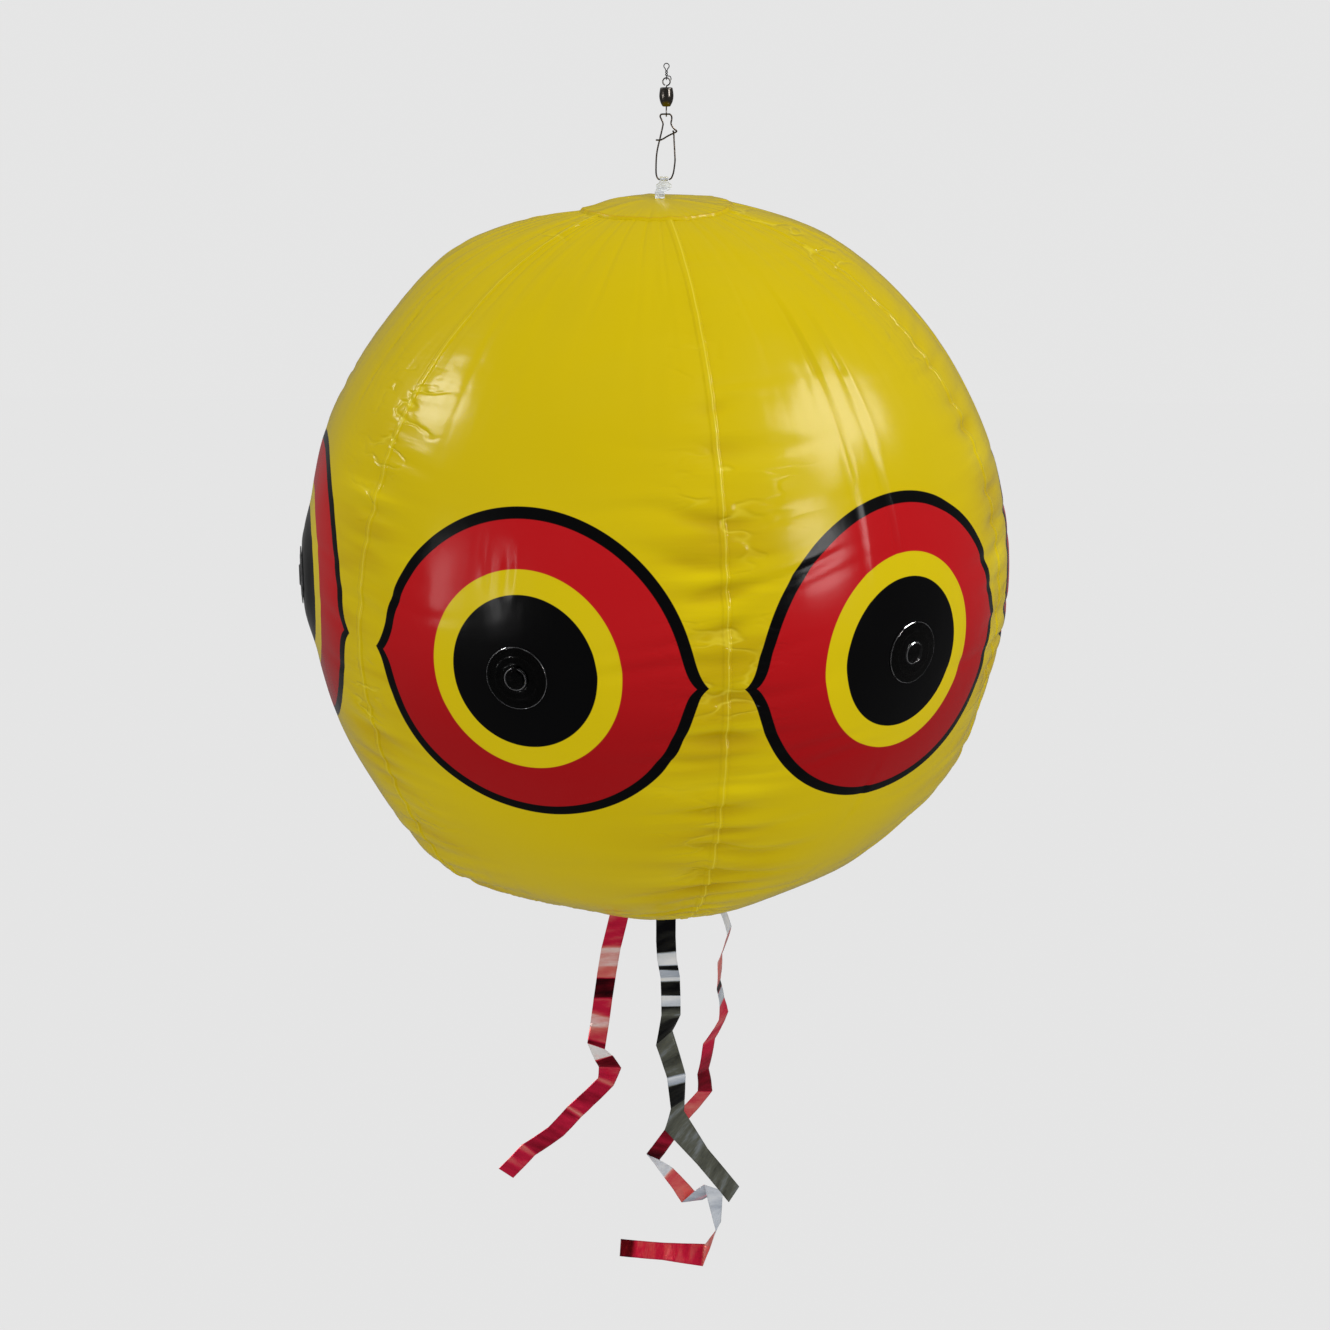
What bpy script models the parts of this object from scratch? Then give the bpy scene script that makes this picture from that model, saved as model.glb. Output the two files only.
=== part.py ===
"""An inflated bird scare ball of six lap welded gores, hung from a wire loop, a swivel and a snap.

The origin is the inside top of the hanging loop, +Z is up, and the snap lies in the XZ plane.
"""

import math

import bmesh
import bpy
from mathutils import Matrix, Vector

# Sizes in metres. Gaps and walls that several pieces share.
SEAT_GAP = 0.0003
CUT_OVERRUN = 0.004
MERGE_DISTANCE = 0.000001

# The ball: six gores of thin sheet, each lapped over the next one.
BALL_RADIUS = 0.203
BALL_HALF_HEIGHT = 0.2088
BALL_SIDE_SHIFT = -0.0052
BALL_TURN = math.radians(10.57)
GORES = 6
SHEET_WALL = 0.0004
LAP_GAP = 0.0002
LAP_HALF_WIDTH = 0.002
LAP_RISE_WIDTH = 0.0015
GORE_TIP_RADIUS = 0.012
GORE_ROWS = 24
GORE_COLUMN_SHARES = (0, 0.08, 0.24, 0.4, 0.5, 0.6, 0.76, 0.92, 1)
SEAM_DRAW = 0.0012
PUCKER_DEPTH = 0.0016
PUCKER_REACH = 0.024
PUCKERS = 12
CAP_RADIUS = 0.042
CAP_RINGS = 3
CAP_SIDES = 36

# The clear discs on the pupils, one of which carries the valve.
EYE_LATITUDE = math.radians(1.5)
DISC_RADIUS = 0.0162
DISC_WALL = 0.0006
DISC_RINGS = 2
DISC_SIDES = 24
MOULDED_RING_RADIUS = 0.0059
MOULDED_RING_WIDTH = 0.0011
MOULDED_RING_HEIGHT = 0.0006
VALVE_HOLE_MARGIN = 0.0021
STEM_RADIUS = 0.0054
STEM_WALL = 0.0014
STEM_LENGTH = 0.0142
STEM_RIM_WIDTH = 0.0006
STEM_RIM_HEIGHT = 0.0007
STEM_BEAD_WIDTH = 0.0008
STEM_BEAD_LENGTH = 0.0014
STEM_SIDES = 24
EAR_REACH = 0.0009
EAR_WIDTH = 0.0024
PLUG_CAP_RADIUS = 0.0046
PLUG_CAP_HEIGHT = 0.0008
PLUG_LENGTH = 0.003
PLUG_TAPER = 0.0006
STRAP_HEIGHT = 0.0004
FLAP_HEIGHT = 0.0005
FLAP_TONGUE_WIDTH = 0.003
FLAP_TONGUE_HEIGHT = 0.0004

# The foil tapes, and the clear round stickers that hold them on the bottom cap.
TAPE_WIDTH = 0.012
TAPE_THICKNESS = 0.00025
LEFT_DROP = 0.225
MIDDLE_DROP = 0.213
RIGHT_DROP = 0.297
LEFT_ROOT_SHARES = (-0.405, 0.31)
MIDDLE_ROOT_SHARES = (0.164, -0.619)
RIGHT_ROOT_SHARES = (0.714, 0.31)
PATCH_RADIUS = 0.008
PATCH_OVERLAP = 0.0015
PATCH_SIDES = 16
LEAST_CREASE_SHARE = 0.6

# The hanger, one wire that is looped at both ends and twisted on itself between them.
HANGER_WIRE = 0.0005
HANG_LOOP_INSIDE = 0.00115
TWIST_STRAND_GAP = 0.0005
TWIST_LENGTH = 0.0031
TWIST_TO_EYE_GAP = 0.00045
TWIST_TURNS = 1.25
TWIST_POINTS_A_TURN = 12
TAG_REACH = 0.0024
TAG_LENGTH = 0.0021

# The barrel swivel.
EYE_WIRE = 0.0007
TOP_EYE_RADIUS = 0.0023
BOTTOM_EYE_RADIUS = 0.00217
EYE_BEND_RADIUS = 0.0005
EYE_STEPS = 18
SHANK_VISIBLE = 0.0008
SHANK_HEAD_RADIUS = 0.00112
SHANK_HEAD_HEIGHT = 0.0006
BARREL_LENGTH = 0.0096
BARREL_TOP_RADIUS = 0.0033
BARREL_WIDE_RADIUS = 0.0038
BARREL_FOOT_RADIUS = 0.002
BARREL_WALL = 0.00095
BARREL_FOOT_WALL = 0.0013
BARREL_SIDES = 24
BARREL_SHOULDER_SHARE = 0.25
BARREL_BELLY_SHARE = 0.4
BARREL_WAIST_SHARE = 0.55
BARREL_CAVITY_SHARE = 0.6
BARREL_ANKLE_SHARE = 0.8

# The interlock snap, bent from one wire.
SNAP_WIRE = 0.00086
SNAP_PITCH = 0.0343
SNAP_SPLIT_GAP = 0.0003

# The clear tab between the snap and the top cap.
TAB_SHEET = 0.0007
TAB_ARCH_WIDTH = 0.0046
TAB_WIDE = 0.0081
TAB_NECK_WIDTH = 0.0052
TAB_FOOT_LENGTH = 0.0055
TAB_SHIFT = -0.0012
TAB_LEAN = -0.0022
TAB_DROP = 0.00949
TAB_WIDE_SHARES = (0.3, 0.52)
TAB_NECK_SHARE = 0.72
TUNNEL_SIDES = 20

# Heights that follow from the sizes above, measured down from the origin.
HANG_LOOP_BOTTOM = 2 * HANG_LOOP_INSIDE + HANGER_WIRE
TWIST_TOP = HANG_LOOP_BOTTOM + HANGER_WIRE / 2
TWIST_BOTTOM = TWIST_TOP + TWIST_LENGTH
TOP_EYE_TOP = TWIST_BOTTOM + HANGER_WIRE / 2 + TWIST_TO_EYE_GAP
TOP_EYE_CENTRE = TOP_EYE_TOP + TOP_EYE_RADIUS
HANGER_PIVOT = TOP_EYE_TOP + EYE_WIRE + SEAT_GAP + HANGER_WIRE / 2
BARREL_TOP = TOP_EYE_CENTRE + TOP_EYE_RADIUS + SHANK_VISIBLE
BARREL_BOTTOM = BARREL_TOP + BARREL_LENGTH
BOTTOM_EYE_CENTRE = BARREL_BOTTOM + SHANK_VISIBLE + EYE_WIRE / 2 + BOTTOM_EYE_RADIUS
SNAP_TOP = BOTTOM_EYE_CENTRE + BOTTOM_EYE_RADIUS - EYE_WIRE - SEAT_GAP - SNAP_WIRE / 2
SNAP_BOTTOM = SNAP_TOP + SNAP_PITCH

# Lifts of the layers above the gores' outer face, along the ball's normal.
LAP_LIFT = SHEET_WALL + LAP_GAP
CAP_LIFT = LAP_LIFT + SEAT_GAP + SHEET_WALL
PATCH_LIFT = CAP_LIFT + SEAT_GAP + SHEET_WALL
TAPE_LIFT = PATCH_LIFT + SEAT_GAP
BALL_CENTRE_DROP = SNAP_BOTTOM + TAB_DROP + SEAT_GAP + CAP_LIFT + BALL_HALF_HEIGHT

# Places on the valve, measured outward from the gore's outer face.
DISC_SEAT = SEAT_GAP
DISC_FACE = DISC_SEAT + DISC_WALL
RIM_SEAT = DISC_FACE + SEAT_GAP
RIM_FACE = RIM_SEAT + STEM_RIM_HEIGHT
PLUG_SEAT = RIM_FACE + SEAT_GAP
STEM_END = RIM_FACE - STEM_LENGTH
STEM_BORE = STEM_RADIUS - STEM_WALL
STEM_RIM_RADIUS = STEM_RADIUS + STEM_RIM_WIDTH
STRAP_SEAT = PLUG_SEAT + (PLUG_CAP_HEIGHT - STRAP_HEIGHT) / 4
PLUG_PIVOT_UP = STEM_RIM_RADIUS + EAR_REACH / 2
PLUG_PIVOT_OUT = STRAP_SEAT + STRAP_HEIGHT / 2
FLAP_OUT = STEM_END - SEAT_GAP - FLAP_HEIGHT / 2
FLAP_RADIUS = STEM_BORE + STEM_WALL / 2
FLAP_PIVOT_UP = STEM_RADIUS - SEAT_GAP / 2

# Names and colours of the finishes, as colour, roughness, metallic and alpha.
YELLOW_SHEET = ((0.6, 0.45, 0.01), 0.25, 0, 1)
CLEAR_SHEET = ((0.8, 0.82, 0.8), 0.15, 0, 0.45)
DARK_METAL = ((0.04, 0.04, 0.045), 0.2, 1, 1)
BLACK_WIRE = ((0.02, 0.02, 0.02), 0.3, 1, 1)
BRIGHT_WIRE = ((0.35, 0.34, 0.33), 0.25, 1, 1)
RED_FOIL = ((0.6, 0.03, 0.06), 0.2, 1, 1)


def clear_scene():
    for old in list(bpy.data.objects):
        bpy.data.objects.remove(old, do_unlink=True)


def add_finish(piece, finish):
    colour, roughness, metallic, alpha = finish
    material = bpy.data.materials.new(piece.name)
    material.use_nodes = True
    shader = material.node_tree.nodes["Principled BSDF"]
    shader.inputs["Base Color"].default_value = (*colour, 1)
    shader.inputs["Roughness"].default_value = roughness
    shader.inputs["Metallic"].default_value = metallic
    shader.inputs["Alpha"].default_value = alpha
    piece.data.materials.append(material)


def add_empty(name, place, turn=None):
    empty = bpy.data.objects.new(name, None)
    empty.matrix_world = Matrix.Translation(place) @ (turn or Matrix())
    bpy.context.scene.collection.objects.link(empty)
    bpy.context.view_layer.update()
    return empty


def add_piece(name, mesh_or_curve, finish, parent=None):
    piece = bpy.data.objects.new(name, mesh_or_curve)
    bpy.context.scene.collection.objects.link(piece)
    piece.parent = parent
    if finish:
        add_finish(piece, finish)
    return piece


def finish_mesh(shape, name, smooth=True):
    """Closes a bmesh into a mesh whose faces point out and whose round faces are smooth."""
    bmesh.ops.remove_doubles(shape, verts=shape.verts, dist=MERGE_DISTANCE)
    bmesh.ops.recalc_face_normals(shape, faces=shape.faces)
    mesh = bpy.data.meshes.new(name)
    shape.to_mesh(mesh)
    shape.free()
    if smooth:
        mesh.shade_smooth()
        mesh.set_sharp_from_angle(angle=math.radians(40))
    return mesh


def turned_mesh(name, profile, sides):
    """Turns a profile of (radius, height) about Z. A profile that leaves the axis is closed on itself."""
    shape = bmesh.new()
    corners = [shape.verts.new((radius, 0, height)) for radius, height in profile]
    edges = [shape.edges.new(pair) for pair in zip(corners, corners[1:])]
    if profile[0][0] > 0:
        edges.append(shape.edges.new((corners[-1], corners[0])))
    bmesh.ops.spin(
        shape, geom=corners + edges, cent=(0, 0, 0), axis=(0, 0, 1),
        angle=2 * math.pi, steps=sides, use_merge=True,
    )
    return finish_mesh(shape, name)


def shell_mesh(name, front, back):
    """Closes a thin shell between two grids of points, given as rows of equal length."""
    shape = bmesh.new()
    grids = [[[shape.verts.new(point) for point in row] for row in side] for side in (front, back)]
    rows, columns = len(front), len(front[0])
    for grid in grids:
        for upper, lower in zip(grid, grid[1:]):
            for index in range(columns - 1):
                shape.faces.new((upper[index], upper[index + 1], lower[index + 1], lower[index]))
    rims = []
    for grid in grids:
        right = [row[-1] for row in grid]
        left = [row[0] for row in grid]
        rims.append(grid[0] + right[1:] + grid[-1][-2::-1] + left[-2:0:-1])
    for index in range(2 * (rows + columns) - 4):
        pair = [rim[index] for rim in rims] + [rim[index - 1] for rim in reversed(rims)]
        shape.faces.new(pair)
    return finish_mesh(shape, name)


def box_mesh(name, lowest, highest):
    shape = bmesh.new()
    size = Vector(highest) - Vector(lowest)
    middle = (Vector(highest) + Vector(lowest)) / 2
    place = Matrix.Translation(middle) @ Matrix.Diagonal((*size, 1))
    bmesh.ops.create_cube(shape, size=1, matrix=place)
    return finish_mesh(shape, name, smooth=False)


def outline_mesh(name, outline, depth, axis):
    """Extrudes an outline both ways along X or Y. Its points are (along, height) for the other axis."""
    shape = bmesh.new()
    side = Vector((depth, 0, 0)) if axis == "X" else Vector((0, depth, 0))
    if axis == "X":
        corners = [shape.verts.new(Vector((0, along, height)) - side) for along, height in outline]
    else:
        corners = [shape.verts.new(Vector((along, 0, height)) - side) for along, height in outline]
    face = shape.faces.new(corners)
    swept = bmesh.ops.extrude_face_region(shape, geom=[face])
    moved = [item for item in swept["geom"] if isinstance(item, bmesh.types.BMVert)]
    bmesh.ops.translate(shape, verts=moved, vec=2 * side)
    return finish_mesh(shape, name, smooth=False)


def combine(piece, mesh, operation, parent=None):
    """Joins a helper solid to a piece, or cuts it out, with a Boolean that stays live."""
    helper = bpy.data.objects.new(mesh.name, mesh)
    bpy.context.scene.collection.objects.link(helper)
    helper.parent = parent or piece.parent
    helper.hide_render = True
    helper.display_type = "WIRE"
    boolean = piece.modifiers.new(mesh.name, "BOOLEAN")
    boolean.operation = operation
    boolean.object = helper


def wire_curve(name, points, diameter, swellings=None, smooth=False):
    """A round wire along points, with an optional share of its radius at each point."""
    curve = bpy.data.curves.new(name, "CURVE")
    curve.dimensions = "3D"
    curve.bevel_depth = diameter / 2
    curve.bevel_resolution = 2
    curve.use_fill_caps = True
    curve.resolution_u = 2
    spline = curve.splines.new("BEZIER" if smooth else "POLY")
    knots = spline.bezier_points if smooth else spline.points
    knots.add(len(points) - 1)
    for index, (knot, point) in enumerate(zip(knots, points)):
        knot.co = point if smooth else (*point, 1)
        knot.radius = swellings[index] if swellings else 1
        if smooth:
            knot.handle_left_type = "AUTO"
            knot.handle_right_type = "AUTO"
    return curve


def arc_points(centre, radius, start, end, steps):
    """Points (across, height) on an arc, with angles in degrees from the across direction."""
    points = []
    for step in range(steps + 1):
        angle = math.radians(start + (end - start) * step / steps)
        points.append((centre[0] + radius * math.cos(angle), centre[1] + radius * math.sin(angle)))
    return points


# The hanger

def strand_points(start_angle, going_down):
    """One strand of the two strand twist, from top to bottom or back up."""
    steps = round(TWIST_TURNS * TWIST_POINTS_A_TURN)
    radius = (HANGER_WIRE + TWIST_STRAND_GAP) / 2
    points = []
    for step in range(steps + 1):
        angle = start_angle - 2 * math.pi * TWIST_TURNS * step / steps
        height = -TWIST_TOP - TWIST_LENGTH * step / steps
        points.append((radius * math.cos(angle), radius * math.sin(angle), height))
    return points if going_down else points[::-1]


def tag_points():
    """The cut end, bent out of the twist and down beside the swivel's eye, from its tip up."""
    bend_height = -TWIST_BOTTOM
    front = -(HANGER_WIRE + TWIST_STRAND_GAP)
    return [
        (TAG_REACH, front, bend_height - TAG_LENGTH),
        (TAG_REACH, front, bend_height - TAG_LENGTH / 2),
        (TAG_REACH - HANGER_WIRE, front, bend_height - HANGER_WIRE / 4),
        (TAG_REACH / 3, front, bend_height),
    ]


def lower_loop_points():
    """The loop through the swivel's top eye, from the back of the twist round to its front."""
    reach = EYE_WIRE / 2 + SEAT_GAP + HANGER_WIRE / 2
    middle = -TOP_EYE_TOP - EYE_WIRE / 2
    loop = arc_points((0, middle), reach, 30, -188, 12)
    return [(0, along, height) for along, height in loop]


def least_gap(points, diameter, apart):
    """The least gap between stretches of a wire that lie further apart along it than given."""
    travelled = [0]
    for first, second in zip(points, points[1:]):
        travelled.append(travelled[-1] + (Vector(second) - Vector(first)).length)
    least = math.inf
    for one, here in zip(points, travelled):
        for other, there in zip(points, travelled):
            if there - here > apart:
                least = min(least, (Vector(other) - Vector(one)).length - diameter)
    return least


def hanger_points():
    """The whole wire: tag end, one strand up, the hanging loop, the other strand down, lower loop."""
    loop_radius = HANG_LOOP_INSIDE + HANGER_WIRE / 2
    hang_loop = arc_points((0, -HANG_LOOP_INSIDE), loop_radius, -62, 242, 20)
    points = tag_points() + strand_points(0, going_down=False)
    points += [(across, 0, height) for across, height in hang_loop]
    points += strand_points(math.pi, going_down=True) + lower_loop_points()
    return points


def add_hanger(parent):
    points = hanger_points()
    gap = least_gap(points, HANGER_WIRE, 3 * HANGER_WIRE)
    print("hanger wire, least gap to itself in mm:", round(gap * 1000, 2))
    curve = wire_curve("hanger_wire", points, HANGER_WIRE)
    return add_piece("hanger_wire", curve, BLACK_WIRE, parent)


# The swivel

def swivel_eye_points(radius, shank):
    """An eye bent from wire, with its shank along +Z below it, as (across, height) from the eye's centre."""
    middle = radius - EYE_WIRE / 2
    foot = -middle - EYE_BEND_RADIUS
    neck_top = -middle - shank + SHANK_HEAD_HEIGHT
    head = SHANK_HEAD_RADIUS / (EYE_WIRE / 2)
    points = [(0, -middle - shank), (0, neck_top), (0, neck_top + EYE_WIRE / 8), (0, foot)]
    swellings = [head, head, 1, 1]
    bend = arc_points((EYE_BEND_RADIUS, foot), EYE_BEND_RADIUS, 180, 100, 4)[1:]
    ring = arc_points((0, 0), middle, -68, 248, EYE_STEPS)
    points += bend + ring
    swellings += [1] * (len(bend) + len(ring))
    return points, swellings


def add_swivel(eye_parents, barrel_parent):
    shank = SHANK_VISIBLE + BARREL_WALL + SEAT_GAP + SHANK_HEAD_HEIGHT + EYE_WIRE / 2
    points, swellings = swivel_eye_points(TOP_EYE_RADIUS, shank)
    top = [(across, 0, HANGER_PIVOT - TOP_EYE_CENTRE + height) for across, height in points]
    curve = wire_curve("swivel_top_eye", top, EYE_WIRE, swellings)
    add_piece("swivel_top_eye", curve, DARK_METAL, eye_parents[0])
    foot_shank = SHANK_VISIBLE + BARREL_FOOT_WALL + SEAT_GAP + SHANK_HEAD_HEIGHT + EYE_WIRE
    points, swellings = swivel_eye_points(BOTTOM_EYE_RADIUS, foot_shank)
    bottom = [(0, across, BARREL_TOP - BOTTOM_EYE_CENTRE - height) for across, height in points]
    curve = wire_curve("swivel_bottom_eye", bottom, EYE_WIRE, swellings)
    add_piece("swivel_bottom_eye", curve, DARK_METAL, eye_parents[1])
    add_piece("swivel_barrel", turned_mesh("swivel_barrel", barrel_profile(), BARREL_SIDES),
              DARK_METAL, barrel_parent)


def barrel_profile():
    """The barrel's wall, down its outside and back up its inside, from the barrel's top."""
    hole = EYE_WIRE / 2 + SEAT_GAP
    cavity = SHANK_HEAD_RADIUS + BARREL_WALL
    cavity_foot = SHANK_HEAD_RADIUS + SEAT_GAP
    chamfer = (BARREL_WIDE_RADIUS - BARREL_TOP_RADIUS) / 2
    return [
        (BARREL_TOP_RADIUS - chamfer, 0),
        (BARREL_TOP_RADIUS, -chamfer),
        (BARREL_WIDE_RADIUS - chamfer / 2, -BARREL_SHOULDER_SHARE * BARREL_LENGTH),
        (BARREL_WIDE_RADIUS, -BARREL_BELLY_SHARE * BARREL_LENGTH),
        (BARREL_WIDE_RADIUS - chamfer / 4, -BARREL_WAIST_SHARE * BARREL_LENGTH),
        ((BARREL_WIDE_RADIUS + BARREL_FOOT_RADIUS) / 2 + chamfer, -BARREL_ANKLE_SHARE * BARREL_LENGTH),
        (BARREL_FOOT_RADIUS + chamfer / 4, -BARREL_LENGTH + chamfer / 2),
        (BARREL_FOOT_RADIUS - chamfer / 4, -BARREL_LENGTH),
        (hole, -BARREL_LENGTH),
        (hole, BARREL_FOOT_WALL - BARREL_LENGTH),
        (cavity_foot, BARREL_FOOT_WALL - BARREL_LENGTH),
        (cavity, -BARREL_CAVITY_SHARE * BARREL_LENGTH),
        (cavity, -BARREL_WALL),
        (hole, -BARREL_WALL),
        (hole, 0),
    ]


# The snap

# Places along the wire as shares of the snap's pitch, down from its top wire. The middle
# number counts wire crossings toward the back, so that wires that cross stay clear.
SNAP_BODY_SHARES = (
    (-0.16, -0.6, 0.392), (-0.115, -1, 0.391), (-0.066, -1.05, 0.381), (0.028, -0.6, 0.329),
    (0.1135, -0.1, 0.289), (0.152, 0, 0.272), (0.163, 0, 0.254), (0.137, 0, 0.235),
    (0.0975, 0, 0.192), (0.0737, 0, 0.139), (0.084, 0, 0.078), (0.082, 0, 0.032),
    (0.058, 0, 0.003), (0.036, 0, 0), (0, 0, 0), (-0.05, 0, 0), (-0.083, 0, 0.006),
    (-0.096, 0, 0.033), (-0.0748, 0, 0.083), (-0.0512, 0, 0.139), (-0.0588, 0, 0.2),
    (-0.0972, 0, 0.367), (-0.136, 0, 0.53), (-0.1546, 0, 0.674), (-0.159, 0, 0.874),
    (-0.148, 0, 0.95), (-0.128, 0, 0.988), (-0.106, 0, 1), (-0.06, 0, 1), (-0.01, 0, 1),
)
SNAP_GATE_SHARES = (
    (0.062, 0, 0.996), (0.086, 0, 0.975), (0.104, 0, 0.932), (0.12, 0.05, 0.873),
    (0.1394, 0.3, 0.719), (0.135, 0.6, 0.596), (0.125, 0.95, 0.43), (0.1208, 1.05, 0.351),
    (0.117, 1.05, 0.303), (0.112, 0.8, 0.268), (0.108, 0.2, 0.2575), (0.1065, -0.35, 0.2585),
)
SNAP_SPLIT_SHARE = 0.035


def snap_places(shares):
    crossing = SNAP_WIRE + SEAT_GAP
    return [
        Vector((across * SNAP_PITCH, back * crossing, -down * SNAP_PITCH))
        for across, back, down in shares
    ]


def add_snap(body_parent, gate_parent):
    """Body and gate meet where the bottom wire runs along X, so that the gate turns about itself."""
    split = SNAP_SPLIT_SHARE * SNAP_PITCH
    body = snap_places(SNAP_BODY_SHARES) + [Vector((split, 0, -SNAP_PITCH))]
    curve = wire_curve("snap_wire", body, SNAP_WIRE, smooth=True)
    add_piece("snap_wire", curve, BRIGHT_WIRE, body_parent)
    gate = [(split + SNAP_SPLIT_GAP, 0, 0), (split + 2 * SNAP_SPLIT_GAP, 0, 0)]
    gate += [place + Vector((0, 0, SNAP_PITCH)) for place in snap_places(SNAP_GATE_SHARES)]
    curve = wire_curve("snap_gate", gate, SNAP_WIRE, smooth=True)
    add_piece("snap_gate", curve, BRIGHT_WIRE, gate_parent)


# The tab

def tab_side_outline(drop, tunnel):
    """The folded strap seen along the snap's wire: an arch, the two sheets together, and two feet."""
    arch = tunnel + TAB_SHEET
    foot_top = -drop + TAB_SHEET
    outline = arc_points((0, 0), arch, -20, 200, 16)
    outline += [
        (-TAB_SHEET, -2 * arch),
        (-TAB_SHEET, foot_top + TAB_SHEET / 2),
        (-TAB_SHEET - TAB_SHEET / 2, foot_top),
        (-TAB_FOOT_LENGTH, foot_top),
        (-TAB_FOOT_LENGTH, -drop),
        (TAB_FOOT_LENGTH, -drop),
        (TAB_FOOT_LENGTH, foot_top),
        (TAB_SHEET + TAB_SHEET / 2, foot_top),
        (TAB_SHEET, foot_top + TAB_SHEET / 2),
        (TAB_SHEET, -2 * arch),
    ]
    return outline


def tab_front_outline(drop, arch):
    """The strap seen from the front: narrow round the wire, wide below it, and a leaning neck."""
    top, neck = TAB_SHIFT, TAB_SHIFT + TAB_LEAN
    levels = [
        (arch + CUT_OVERRUN, top, TAB_ARCH_WIDTH), (-arch, top, TAB_ARCH_WIDTH),
    ]
    levels += [(-share * drop, top, TAB_WIDE) for share in TAB_WIDE_SHARES]
    levels += [
        (-TAB_NECK_SHARE * drop, neck, TAB_NECK_WIDTH), (-drop - CUT_OVERRUN, neck, TAB_NECK_WIDTH),
    ]
    left = [(middle - width / 2, height) for height, middle, width in levels]
    right = [(middle + width / 2, height) for height, middle, width in levels]
    return left + right[::-1]


def add_tab(parent):
    """The strap's side outline, swept wide along the wire, is trimmed by its front outline."""
    tunnel = SNAP_WIRE / 2 + SEAT_GAP
    arch = tunnel + TAB_SHEET
    side = outline_mesh("hanging_tab", tab_side_outline(TAB_DROP, tunnel), TAB_WIDE, "X")
    tab = add_piece("hanging_tab", side, CLEAR_SHEET, parent)
    front = tab_front_outline(TAB_DROP, arch)
    depth = TAB_FOOT_LENGTH + CUT_OVERRUN
    combine(tab, outline_mesh("tab_trim", front, depth, "Y"), "INTERSECT")
    rod = [(0, TAB_WIDE), (tunnel, TAB_WIDE), (tunnel, -TAB_WIDE), (0, -TAB_WIDE)]
    bore = turned_mesh("tab_tunnel", rod, TUNNEL_SIDES)
    bore.transform(Matrix.Rotation(math.radians(90), 4, "Y"))
    combine(tab, bore, "DIFFERENCE")


# The ball

def ball_point(azimuth, latitude, lift):
    """A point over the ball's surface. Azimuth runs from the front seam toward the right."""
    across = (BALL_RADIUS + lift) * math.cos(latitude)
    height = (BALL_HALF_HEIGHT + lift) * math.sin(latitude)
    return Vector((across * math.sin(azimuth), -across * math.cos(azimuth), height))


def seam_sink(arc, latitude, row_share):
    """How far the sheet is drawn in near a seam: a valley along it, and puckers that cross it."""
    edge = math.acos(CAP_RADIUS / BALL_RADIUS)
    fade = min(1, max(0, (edge - abs(latitude)) / (edge / 4)))
    wave = (1 + math.cos(2 * math.pi * PUCKERS * row_share)) / 2
    return (SEAM_DRAW + PUCKER_DEPTH * wave) * fade * math.exp(-((arc / PUCKER_REACH) ** 2))


def gore_columns(across):
    """Each column's (angle, arc from the nearer seam, lift) at a distance from the ball's axis."""
    span = 2 * math.pi / GORES
    lap, rise = LAP_HALF_WIDTH / across, (LAP_HALF_WIDTH + LAP_RISE_WIDTH) / across
    columns = [(-lap, 0)]
    columns += [(lap + share * (span - lap - rise), 0) for share in GORE_COLUMN_SHARES]
    columns += [(span - lap, LAP_LIFT), (span + lap, LAP_LIFT)]
    return [(angle, min(abs(angle), abs(span - angle)) * across, lift) for angle, lift in columns]


def gore_mesh(name):
    """A gore from tip to tip. One long margin lies flat, the other steps up over its neighbour."""
    tip = math.acos(GORE_TIP_RADIUS / BALL_RADIUS)
    front, back = [], []
    for row in range(GORE_ROWS + 1):
        share = row / GORE_ROWS
        latitude = tip - 2 * tip * share
        columns = gore_columns(BALL_RADIUS * math.cos(latitude))
        sinks = [seam_sink(arc, latitude, share) for _, arc, _ in columns]
        front.append([
            ball_point(angle, latitude, lift - sink) for (angle, _, lift), sink in zip(columns, sinks)
        ])
        back.append([
            ball_point(angle, latitude, lift - sink - SHEET_WALL)
            for (angle, _, lift), sink in zip(columns, sinks)
        ])
    return shell_mesh(name, front, back)


def cap_profile():
    """The end disc's profile, from its middle out along its outer face and back along its inner one."""
    outer, inner = [], []
    for ring in range(CAP_RINGS + 1):
        latitude = math.acos(CAP_RADIUS * ring / CAP_RINGS / BALL_RADIUS)
        for profile, lift in ((outer, CAP_LIFT), (inner, CAP_LIFT - SHEET_WALL)):
            point = ball_point(0, latitude, lift)
            profile.append((abs(point.y) if ring else 0, point.z))
    return outer + inner[::-1]


def add_ball(ball_frame):
    span = 2 * math.pi / GORES
    gores = []
    for index in range(GORES):
        name = f"gore_{index + 1}"
        mesh = gore_mesh(name)
        mesh.transform(Matrix.Rotation(span * index, 4, "Z"))
        gores.append(add_piece(name, mesh, YELLOW_SHEET, ball_frame))
    add_piece("top_cap", turned_mesh("top_cap", cap_profile(), CAP_SIDES), YELLOW_SHEET, ball_frame)
    bottom = turned_mesh("bottom_cap", cap_profile(), CAP_SIDES)
    bottom.transform(Matrix.Rotation(math.pi, 4, "X"))
    add_piece("bottom_cap", bottom, YELLOW_SHEET, ball_frame)
    return gores


# The discs on the pupils and the valve

def disc_sag(radius):
    """How far the ball's surface falls away at a distance from an eye's middle."""
    upright_curve = BALL_HALF_HEIGHT ** 2 / BALL_RADIUS
    return radius ** 2 / (BALL_RADIUS + upright_curve)


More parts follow.
